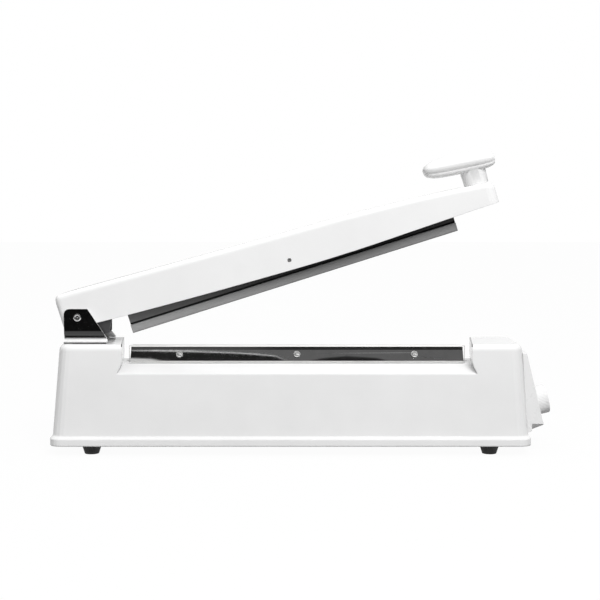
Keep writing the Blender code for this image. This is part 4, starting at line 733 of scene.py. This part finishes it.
def cross_cutter(size, depth, matrix):
    """A tapered cross, as a driver leaves it in a screw head."""
    foot = rectangle(size * 0.45, size * 0.16, -depth)
    top = rectangle(size, size * 0.30, depth)
    quarter = Matrix.Rotation(math.pi / 2, 4, "Z")
    arms = [skin("cross_arm", [foot, top], spin) for spin in (matrix, matrix @ quarter)]
    return combine(arms[0], arms[1], "UNION")


HEAD_RADIUS = 3.1 * MM
HEAD_HEIGHT = 1.9 * MM
SHANK_RADIUS = 1.6 * MM
SHANK_SHARE = 0.8
THREAD_PITCH = 0.5 * MM
CROWN_ANGLES = (0.0, 0.3, 0.6, 0.9, 1.2, 1.4)
CROWN_SIDE = 0.42
CLAMP_LEAN = math.radians(36.8)
SCREWS_PER_SIDE = 3


def pan_head_screw(name, seat, direction, length):
    """A pan-head machine screw with a cross recess; its head's seat is at a place."""
    matrix = facing(seat, direction)
    profile = [(0, -length - SHANK_RADIUS * 0.5), (SHANK_RADIUS * 0.6, -length - SHANK_RADIUS * 0.4)]
    for i in range(int(length / THREAD_PITCH)):
        foot = -length + i * THREAD_PITCH
        profile += [(SHANK_RADIUS * 0.86, foot), (SHANK_RADIUS, foot + THREAD_PITCH * 0.45)]
    profile += [(SHANK_RADIUS * 0.9, 0), (HEAD_RADIUS, 0)]
    for angle in CROWN_ANGLES:
        rise = CROWN_SIDE + (1 - CROWN_SIDE) * math.sin(angle)
        profile.append((HEAD_RADIUS * math.cos(angle), HEAD_HEIGHT * rise))
    screw = turned(name, profile + [(0, HEAD_HEIGHT)], matrix)
    top = matrix @ Matrix.Translation((0, 0, HEAD_HEIGHT))
    return combine(screw, cross_cutter(HEAD_RADIUS * 0.56, HEAD_HEIGHT * 0.62, top), "DIFFERENCE")


def clamp_screws():
    for side, sign in (("front", -1), ("back", 1)):
        direction = Vector((0, sign * math.cos(CLAMP_LEAN), math.sin(CLAMP_LEAN))).normalized()
        for i in range(SCREWS_PER_SIDE):
            name = f"clamp_screw_{side}_{i + 1}"
            points = [v.co for v in NODES[name].data.vertices]
            low = min(p.dot(direction) for p in points)
            high = max(p.dot(direction) for p in points)
            rim = [p for p in points if p.dot(direction) > high - HEAD_HEIGHT * 1.05]
            middle = sum(rim, Vector()) / len(rim)
            seat = middle + direction * (high - HEAD_HEIGHT - middle.dot(direction))
            length = (high - low - HEAD_HEIGHT) * SHANK_SHARE
            made = pan_head_screw(name + "_fine", seat, direction, length)
            settled(made, SCREW_STEEL, BODY_OF[name], slot_of(name), name)


GRIP_LEFT = 332.0 * MM
GRIP_RIGHT = 395.9 * MM
GRIP_HALF = 15.4 * MM
GRIP_RISE = 9.4 * MM
GRIP_DROP = 9.2 * MM
GRIP_MIDDLE_LEFT = 34.9 * MM
GRIP_MIDDLE_RIGHT = 28.9 * MM
GRIP_END_POWER = 4.0
GRIP_TIP_POWER = 2.2
GRIP_TIP_SHARE = 0.02
GRIP_STEPS = 40
DOME_POWER = 1.9
DOME_STEPS = 14
# The grip's side below its widest line, as shares of half width and depth: it tucks in to a crease,
# then stands out as a lower rim
UNDER_SHARES = (
    (1.0, 0.0),
    (0.985, 0.14),
    (0.955, 0.27),
    (0.905, 0.39),
    (0.855, 0.475),
    (0.838, 0.515),
    (0.846, 0.56),
    (0.828, 0.66),
    (0.785, 0.77),
    (0.715, 0.87),
    (0.620, 0.94),
    (0.48, 0.98),
    (0.25, 1.0),
)
POST_X = 374.6 * MM
POST_TOP_RADIUS = 11.6 * MM
POST_FOOT_RADIUS = 10.9 * MM
POST_FOOT = 9.4 * MM
POST_FOOT_EDGE = 0.3 * MM
POST_SHOULDER = 5 * MM
FINE_STEPS = 64


def grip_section():
    """The grip's section round from its top, as signed shares of its half width and of its rise or drop."""
    side = []
    for i in range(DOME_STEPS + 1):
        angle = math.pi / 2 * (1 - i / DOME_STEPS)
        side.append((math.cos(angle) ** (2 / DOME_POWER), math.sin(angle) ** (2 / DOME_POWER)))
    under = [(across, -down) for across, down in UNDER_SHARES[1:]]
    half = side + under
    other = [(-across, up) for across, up in reversed(half[1:])]
    return half + other


def swell(along, power):
    """The grip's girth at a place from -1 to 1 along it, as a share of its full one."""
    return max(GRIP_TIP_SHARE, (1 - min(1, abs(along)) ** power) ** (1 / power))


def grip_rings():
    section = grip_section()
    half_length = (GRIP_RIGHT - GRIP_LEFT) / 2
    rings = []
    for i in range(GRIP_STEPS + 1):
        along = -math.cos(math.pi * i / GRIP_STEPS)
        girth = swell(along, GRIP_END_POWER)
        dome = swell(along, GRIP_TIP_POWER if along < 0 else GRIP_END_POWER)
        x = GRIP_LEFT + half_length * (1 + along)
        middle = GRIP_MIDDLE_LEFT + (GRIP_MIDDLE_RIGHT - GRIP_MIDDLE_LEFT) * (1 + along) / 2
        ring = []
        for across, up in section:
            rise = GRIP_RISE * dome if up > 0 else GRIP_DROP * girth
            ring.append((x, across * GRIP_HALF * girth, middle + up * rise))
        rings.append(ring)
    return rings


def handle():
    """Grip and post, moulded as one."""
    grip = skin("handle_fine", grip_rings(), ARM_FRAME, smooth=50)
    profile = [(0, POST_FOOT), (POST_FOOT_RADIUS - POST_FOOT_EDGE, POST_FOOT)]
    profile += [(POST_FOOT_RADIUS, POST_FOOT + POST_FOOT_EDGE)]
    profile += [(POST_TOP_RADIUS, GRIP_MIDDLE_RIGHT - POST_SHOULDER)]
    profile += [(POST_TOP_RADIUS, GRIP_MIDDLE_RIGHT), (0, GRIP_MIDDLE_RIGHT)]
    post = turned("post", profile, ARM_FRAME @ Matrix.Translation((POST_X, 0, 0)), FINE_STEPS)
    combine(grip, post, "UNION", 50)
    settled(grip, ARM_PLASTIC, "arm", slot_of("handle"), "handle")


PIN_HEAD_RADIUS = 3.3 * MM
PIN_HEAD_HEIGHT = 1.8 * MM
PIN_RADIUS = 2.5 * MM
PIN_EDGE = 0.4 * MM
RING_STEPS = 8
DOT_STEPS = 4
RING_HALF = 0.8 * MM
RECESS_DEPTH = 1.2 * MM
DOT_RADIUS = 0.75 * MM


def hinge_pin():
    """The pivot pin: a rolled ring round a recess with a raised point in its middle."""
    low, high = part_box("hinge_pin")
    length = high.y - low.y - PIN_HEAD_HEIGHT
    matrix = facing(Vector((PIVOT.x, low.y + PIN_HEAD_HEIGHT, PIVOT.z)), (0, -1, 0))
    end = [(0, -length), (PIN_RADIUS - PIN_EDGE, -length), (PIN_RADIUS, -length + PIN_EDGE)]
    head = [(PIN_RADIUS, 0), (PIN_HEAD_RADIUS, 0)]
    for i in range(RING_STEPS + 1):
        angle = math.pi * i / RING_STEPS
        across = PIN_HEAD_RADIUS - RING_HALF + RING_HALF * math.cos(angle)
        head.append((across, PIN_HEAD_HEIGHT - RING_HALF + RING_HALF * math.sin(angle)))
    inside = PIN_HEAD_RADIUS - 2 * RING_HALF
    bottom = PIN_HEAD_HEIGHT - RECESS_DEPTH
    middle = [(inside * 0.97, bottom), (DOT_RADIUS, bottom)]
    for i in range(1, DOT_STEPS + 1):
        angle = math.pi / 2 * i / DOT_STEPS
        middle.append((DOT_RADIUS * math.cos(angle), bottom + DOT_RADIUS * math.sin(angle)))
    pin = turned("hinge_pin_fine", end + head + middle, matrix, FINE_STEPS)
    settled(pin, PIN_CHROME, "base", slot_of("hinge_pin"), "hinge_pin")


SPRING_TURNS = 8
SPRING_STEPS = 24
WIRE_RADIUS = 0.6 * MM
WIRE_SIDES = 12


def return_spring():
    """The coil under the plunger's collar, drawn at one length; the real one shortens as the arm presses the
    plunger down.
    """
    low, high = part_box("return_spring")
    middle = (low + high) / 2
    reach = (high.x - low.x) / 2 - WIRE_RADIUS
    rise = high.z - low.z - 2 * WIRE_RADIUS
    count = SPRING_TURNS * SPRING_STEPS
    climb = rise / (SPRING_TURNS * 2 * math.pi * reach)
    turns = [2 * math.pi * i / WIRE_SIDES for i in range(WIRE_SIDES)]
    rings = []
    for i in range(count + 1):
        angle = 2 * math.pi * i / SPRING_STEPS
        out = Vector((math.cos(angle), math.sin(angle), 0))
        across = Vector((-math.sin(angle), math.cos(angle), climb)).cross(out).normalized()
        wire = Vector((middle.x, middle.y, low.z + WIRE_RADIUS + rise * i / count)) + out * reach
        ring = [out * math.cos(turn) + across * math.sin(turn) for turn in turns]
        rings.append([wire + spoke * WIRE_RADIUS for spoke in ring])
    spring = skin("return_spring_fine", rings, smooth=60)
    settled(spring, SPRING_STEEL, "base", slot_of("return_spring"), "return_spring")
    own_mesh(spring)


KNOB_LIFT = 0.6 * MM
KNOB_RADIUS = 13.0 * MM
KNOB_TOP = 11.3 * MM
KNOB_BORE = 3.4 * MM
KNOB_WALL = 1.6 * MM
KNOB_ROOF = 3 * MM
KNOB_HUB_RISE = 3 * MM
KNOB_FOOT_EDGE = 0.2 * MM
KNOB_CROWN_EDGE = 1.2 * MM
# How far in and down the dished top goes
KNOB_DISH = ((2.2 * MM, 0.1 * MM), (KNOB_RADIUS / 2, 0.5 * MM), (KNOB_RADIUS, 0.6 * MM))
KNOB_FLUTES = 60
STEPS_PER_FLUTE = 6
FLUTE_DEPTH = 0.28 * MM
FLUTE_MARGIN = 1.3 * MM
FLUTED_REACH = 0.02 * MM
CROWN_STEPS = 6
PLAIN_FOOT = 0.9 * MM
MARK_HALF = 0.55 * MM
MARK_LENGTH = 6 * MM
MARK_DROPS = (0.6 * MM, 0.02 * MM)
MARK_ENDS = ((0, 0.8, 1.57, 2.34, math.pi), (math.pi, 3.94, 4.71, 5.5, 0))

# Half width and near end of a dial's ticks, at the numbers and between them
MAIN_TICK = (0.34 * MM, 15.0 * MM)
MINOR_TICK = (0.22 * MM, 15.6 * MM)
TICK_FAR = 16.6 * MM
TICK_TAPER = 0.8
NUMBER_RADIUS = 19.4 * MM
NUMBER_HEIGHT = 3.4 * MM
INK_SEAT = 0.001 * MM
INK_THICKNESS = 0.03 * MM
DIAL_NUMBERS = 9
DIAL_HALF_TURN = math.radians(135)


def panel_frame():
    """On the panel's face at the knob: x to the right as it is read, y up the face, z out of it."""
    right = Vector((0, 1, 0))
    rotation = Matrix((right, KNOB_AXIS.cross(right), KNOB_AXIS)).transposed()
    return Matrix.Translation(KNOB_SEAT) @ rotation.to_4x4()


def flute(angle, radius, height):
    """Narrow grooves round the knob's side, fading out at both edges of it."""
    side = KNOB_RADIUS - radius < FLUTED_REACH and KNOB_LIFT + PLAIN_FOOT < height
    return FLUTE_DEPTH * (0.5 - 0.5 * math.cos(KNOB_FLUTES * angle)) if side else 0


def knob_section():
    """Half of the knob's section: hollow with a hub inside, then its skirt, round edge and dished top."""
    ceiling = KNOB_TOP - KNOB_ROOF
    hub = KNOB_LIFT + KNOB_HUB_RISE
    inner = KNOB_RADIUS - KNOB_WALL
    inside = [(0, ceiling), (KNOB_BORE, ceiling), (KNOB_BORE, hub)]
    inside += [(KNOB_BORE + KNOB_WALL, hub), (KNOB_BORE + KNOB_WALL, ceiling), (inner, ceiling)]
    skirt = [(inner, KNOB_LIFT), (KNOB_RADIUS - KNOB_FOOT_EDGE, KNOB_LIFT)]
    skirt += [(KNOB_RADIUS, KNOB_LIFT + rise) for rise in (KNOB_FOOT_EDGE, PLAIN_FOOT, FLUTE_MARGIN)]
    skirt.append((KNOB_RADIUS, KNOB_TOP - FLUTE_MARGIN))
    crown = round_profile(KNOB_RADIUS, KNOB_TOP, KNOB_CROWN_EDGE, CROWN_STEPS)[1:]
    dish = [(KNOB_RADIUS - inwards, KNOB_TOP - drop) for inwards, drop in KNOB_DISH]
    return inside + skirt + crown + dish


def timer_knob():
    """A finely fluted knob, with a printed line on its top that is round at both ends."""
    matrix = panel_frame()
    knob = turned("timer_knob_fine", knob_section(), matrix, KNOB_FLUTES * STEPS_PER_FLUTE, flute, 50)
    settled(knob, WHITE_PLASTIC, "timer", slot_of("timer_knob"), "timer_knob")
    far = KNOB_RADIUS - KNOB_WALL
    outline = []
    for middle, angles in zip((far, far - MARK_LENGTH), MARK_ENDS):
        outline += [(MARK_HALF * math.cos(angle), middle + MARK_HALF * math.sin(angle)) for angle in angles]
    rings = [[(x, y, KNOB_TOP - drop) for x, y in outline] for drop in MARK_DROPS]
    settled(skin("knob_mark", rings, matrix), INK, "timer", slot_of("timer_knob"))


def dial_ticks(matrix):
    """One mesh of all the ticks, thin and short between two numbers."""
    bm = bmesh.new()
    steps = (DIAL_NUMBERS - 1) * 2
    for i in range(steps + 1):
        half, near = MINOR_TICK if i % 2 else MAIN_TICK
        tip = half * TICK_TAPER
        outline = ((-half, near), (half, near), (tip, TICK_FAR), (-tip, TICK_FAR))
        spin = matrix @ Matrix.Rotation(DIAL_HALF_TURN * (1 - 2 * i / steps), 4, "Z")
        low = [bm.verts.new(spin @ Vector((x, y, INK_SEAT))) for x, y in outline]
        high = [bm.verts.new(spin @ Vector((x, y, INK_THICKNESS))) for x, y in outline]
        bm.faces.new(reversed(low))
        bm.faces.new(high)
        for j in range(4):
            k = (j + 1) % 4
            bm.faces.new((low[j], low[k], high[k], high[j]))
    mesh = bpy.data.meshes.new("dial_ticks")
    bm.to_mesh(mesh)
    bm.free()
    settled(object_of("dial_ticks", mesh), INK, "base", slot_of("timer_panel"))


def dial_number(number, matrix):
    """One printed number, upright on the panel at its place round the knob."""
    turn = DIAL_HALF_TURN * (1 - 2 * number / (DIAL_NUMBERS - 1))
    spot = Vector((-math.sin(turn) * NUMBER_RADIUS, math.cos(turn) * NUMBER_RADIUS, INK_THICKNESS / 2))
    text = bpy.data.curves.new(f"dial_number_{number}", "FONT")
    text.body = str(number)
    text.size = NUMBER_HEIGHT
    text.align_x = "CENTER"
    text.align_y = "CENTER"
    text.extrude = INK_THICKNESS / 2
    drawn = object_of(f"dial_number_{number}_text", text)
    mesh = evaluated_mesh(drawn)
    bpy.data.objects.remove(drawn)
    mesh.transform(matrix @ Matrix.Translation(spot))
    settled(object_of(f"dial_number_{number}", mesh), INK, "base", slot_of("timer_panel"))


def dial():
    """Ticks and plain numbers printed round the knob."""
    matrix = panel_frame()
    dial_ticks(matrix)
    for number in range(DIAL_NUMBERS):
        dial_number(number, matrix)


BAR_FOOT_HALF = 14.6 * MM
BAR_KNEE_HALF = 7.2 * MM
BAR_KNEE_RISE = 9.9 * MM
BAR_TOP_HALF = 6.2 * MM
BAR_LIP_RISE = 2.65 * MM
CLOTH_KNEE_DROP = 0.1 * MM
CLOTH_CORNER_SHARE = 0.3
CLOTH_THICKNESS = 0.25 * MM
CLOTH_EDGE_ROUND = 0.5 * MM
STRIP_HALF = 1.1 * MM
STRIP_RIDGE = 0.04 * MM
CLOTH_ROWS = 60


def cloth_path():
    """The cloth's outer face from one side of the bar over its top to the other, as (y, z)."""
    low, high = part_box("ptfe_cloth")
    slope = math.atan2(BAR_KNEE_RISE, BAR_FOOT_HALF - BAR_KNEE_HALF)
    lip = math.atan2(BAR_LIP_RISE, BAR_KNEE_HALF - BAR_TOP_HALF)
    top = high.z - STRIP_RIDGE
    knee_z = low.z + BAR_KNEE_RISE - CLOTH_KNEE_DROP
    knee_y = -high.y + (knee_z - low.z) / math.tan(slope)
    corner_y = knee_y + (top - CLOTH_EDGE_ROUND - knee_z) / math.tan(lip)
    part = CLOTH_EDGE_ROUND * CLOTH_CORNER_SHARE
    side = [(-high.y, low.z), (knee_y, knee_z), (corner_y, top - CLOTH_EDGE_ROUND)]
    side += [(corner_y + part, top - part), (corner_y + CLOTH_EDGE_ROUND, top)]
    side += [(-STRIP_HALF * 2, top), (-STRIP_HALF, high.z)]
    return side + [(-y, z) for y, z in reversed(side)]


def inset_path(path, distance):
    """A path moved to its right by a distance, with mitred corners."""
    normals = []
    for (ay, az), (by, bz) in zip(path, path[1:]):
        run = math.hypot(by - ay, bz - az)
        normals.append(((bz - az) / run, -(by - ay) / run))
    moved = []
    for i, (y, z) in enumerate(path):
        before = normals[max(i - 1, 0)]
        after = normals[min(i, len(normals) - 1)]
        ny, nz = before[0] + after[0], before[1] + after[1]
        scale = distance * 2 / (ny * ny + nz * nz)
        moved.append((y + ny * scale, z + nz * scale))
    return moved


def sealing_cloth():
    """Coated glass cloth stretched over the bar under its two clamp plates."""
    low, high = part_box("ptfe_cloth")
    outer = cloth_path()
    loop = outer + inset_path(outer, CLOTH_THICKNESS)[::-1]
    rings = []
    for i in range(CLOTH_ROWS + 1):
        x = low.x + (high.x - low.x) * i / CLOTH_ROWS
        rings.append([(x, y, z) for y, z in loop])
    cloth = skin("sealing_cloth", rings, smooth=30)
    settled(cloth, CLOTH, "base", slot_of("ptfe_cloth"), "ptfe_cloth")


CAMERA_X = PIVOT.x + 194.8 * MM
CAMERA_Y = -1.1
CAMERA_Z = 220.9 * MM
CAMERA_TILT = math.radians(4.5)
LENS_MM = 73.32
SENSOR_MM = 36
CAMERA_SHIFT = 0.005
CAMERA_NEAR = 0.05


def camera():
    data = bpy.data.cameras.new("camera")
    data.lens = LENS_MM
    data.sensor_width = SENSOR_MM
    data.shift_x = CAMERA_SHIFT
    data.clip_start = CAMERA_NEAR
    made = bpy.data.objects.new("camera", data)
    made.location = (CAMERA_X, CAMERA_Y, CAMERA_Z)
    made.rotation_euler = (math.pi / 2 - CAMERA_TILT, 0, 0)
    bpy.context.scene.collection.objects.link(made)
    bpy.context.scene.camera = made


def ray_is(tree, kind):
    return add(tree, "ShaderNodeLightPath").outputs[f"Is {kind} Ray"]


# What polished metal sees, by the angle in degrees from the horizon in front, up over the top, to the
# horizon behind: dark flags with softboxes between them, one set to the left and one ahead
LOWEST_ANGLE = -30
LEFT_FLAGS = (
    (-30, 0.004),
    (-3, 0.004),
    (0, 0.062),
    (17, 0.075),
    (30, 0.008),
    (60, 0.012),
    (80, 0.10),
    (100, 0.75),
    (112, 1.0),
    (150, 1.0),
    (166, 0.80),
    (180, 0.70),
)
AHEAD_FLAGS = (
    (-30, 0.10),
    (-6, 0.008),
    (20, 0.008),
    (28, 0.08),
    (36, 0.08),
    (38, 0.03),
    (44, 0.022),
    (47, 0.80),
    (59.3, 0.80),
    (60.8, 0.017),
    (66.9, 0.017),
    (67.3, 0.14),
    (86, 0.13),
    (90, 0.015),
    (112, 0.015),
    (126, 0.85),
    (180, 0.95),
)
# A thin bright gap between two flags ahead, seen only left of the middle
GAP_STOPS = ((0.0, 0.0), (0.35, 0.80), (0.65, 0.80), (1.0, 0.0))
GAP_LOW = math.radians(66.55)
GAP_HIGH = math.radians(67.35)
GAP_FROM = -0.022
GAP_TO = 0.0
LEFT_FROM = -0.147
LEFT_TO = -0.139
SKY_LEVEL = 0.62
OVERHEAD_LEVEL = 0.80
GROUND_LEVEL = 0.02
SKY_STOPS = (
    (0.0, GROUND_LEVEL),
    (0.49, GROUND_LEVEL),
    (0.52, SKY_LEVEL),
    (0.75, SKY_LEVEL),
    (1.0, OVERHEAD_LEVEL),
)
# How the sky dims to the left and to the right and comes back overhead: the share that it starts at
# and ends at, and where along the way it does so
LEFT_FALL = (1.0, 0.06, 0.25, -0.5)
RIGHT_FALL = (1.0, 0.08, 0.2, 1.0)
OVERHEAD_RISE = (0.0, 1.0, 0.1, 0.7)
FRONT_LEVEL = 1.48


def flags(tree, angle, stops):
    span = 180 - LOWEST_ANGLE
    share = ranged(tree, angle, 0, 1, math.radians(LOWEST_ANGLE), math.pi)
    return ramp(tree, share, [((degrees - LOWEST_ANGLE) / span, level) for degrees, level in stops])


def world():
    """White to the camera, a soft sky to matt surfaces and dark flags between softboxes to polished ones."""
    made = bpy.data.worlds.new("studio")
    made.use_nodes = True
    tree = made.node_tree
    tree.nodes.clear()
    way = add(tree, "ShaderNodeTexCoord").outputs["Generated"]
    right, back, up = [part_of(tree, way, axis) for axis in "XYZ"]
    angle = maths(tree, "ARCTAN2", up, maths(tree, "MULTIPLY", back, -1.0))
    gap = level_of(tree, ramp(tree, ranged(tree, angle, 0, 1, GAP_LOW, GAP_HIGH), GAP_STOPS))
    gap = maths(tree, "MULTIPLY", gap, ranged(tree, right, 1, 0, GAP_FROM, GAP_TO))
    ahead = maths(tree, "MAXIMUM", level_of(tree, flags(tree, angle, AHEAD_FLAGS)), gap)
    left = ranged(tree, right, 1, 0, LEFT_FROM, LEFT_TO)
    gloss = mixed(tree, left, ahead, flags(tree, angle, LEFT_FLAGS))
    side = maths(tree, "MULTIPLY", ranged(tree, right, *LEFT_FALL), ranged(tree, right, *RIGHT_FALL))
    side = maths(tree, "MAXIMUM", side, ranged(tree, up, *OVERHEAD_RISE))
    level = level_of(tree, ramp(tree, ranged(tree, up, 0, 1, -1, 1), SKY_STOPS))
    front = ranged(tree, back, FRONT_LEVEL, 0, -1, 0)
    sky = maths(tree, "MULTIPLY", side, maths(tree, "ADD", level, front))
    seen = mixed(tree, ray_is(tree, "Glossy"), sky, gloss)
    seen = mixed(tree, ray_is(tree, "Camera"), seen, 1.0)
    seen = mixed(tree, ray_is(tree, "Transmission"), seen, 1.0)
    light = add(tree, "ShaderNodeBackground", {"Color": seen, "Strength": 1.0})
    add(tree, "ShaderNodeOutputWorld", {"Surface": light.outputs["Background"]})
    bpy.context.scene.world = made


FLOOR_HALF = 4
FLOOR_FRONT = -0.62
FLOOR_BACK = 6
FLOOR_TONES = (0.78, 0.80)
FLOOR_CLOUD = 0.2
FLOOR_SEEN = 0.95
FLOOR_GLOW = 1.0
FLOOR_TONE_TO_MATT = 0.06


def floor():
    """A table top that the camera sees as white, with the object's soft shadow, and dark to matt surfaces."""
    rows = [[(-FLOOR_HALF, y, 0), (FLOOR_HALF, y, 0)] for y in (FLOOR_FRONT, FLOOR_BACK)]
    made = skin("floor", rows, closed=False, caps=False)
    material = new_material("table")
    tree = material.node_tree
    spot = place(tree)
    pale = mixed(tree, ranged(tree, noise(tree, spot, FLOOR_CLOUD), 0, 1), *FLOOR_TONES)
    tone = mixed(tree, ray_is(tree, "Diffuse"), pale, FLOOR_TONE_TO_MATT)
    matt = add(tree, "ShaderNodeBsdfDiffuse", {"Color": tone})
    glow = add(tree, "ShaderNodeEmission", {"Color": colour(1.0), "Strength": FLOOR_GLOW})
    shown = maths(tree, "MAXIMUM", ray_is(tree, "Camera"), ray_is(tree, "Glossy"))
    shown = maths(tree, "MAXIMUM", shown, ray_is(tree, "Transmission"))
    both = add(tree, "ShaderNodeMixShader", {"Fac": maths(tree, "MULTIPLY", shown, FLOOR_SEEN)})
    tree.links.new(matt.outputs[0], both.inputs[1])
    tree.links.new(glow.outputs[0], both.inputs[2])
    add(tree, "ShaderNodeOutputMaterial", {"Surface": both.outputs[0]})
    made.data.materials.append(material)


KEY_PLACE = Vector((0.38, -1.34, 1.40))
KEY_AIM = Vector((0.0, 0.0, 0.12))
KEY_SIZE = 0.7
KEY_POWER = 19.0


def key_light():
    """One large softbox to the right, above and in front."""
    data = bpy.data.lights.new("key", "AREA")
    data.shape = "SQUARE"
    data.size = KEY_SIZE
    data.energy = KEY_POWER
    made = bpy.data.objects.new("key", data)
    made.location = KEY_PLACE
    made.rotation_euler = (KEY_AIM - KEY_PLACE).to_track_quat("-Z", "Y").to_euler()
    made.visible_glossy = False
    bpy.context.scene.collection.objects.link(made)


dress_nodes()
clamp_screws()
handle()
hinge_pin()
return_spring()
timer_knob()
dial()
sealing_cloth()
camera()
world()
floor()
key_light()
bpy.context.scene.view_settings.view_transform = "Standard"
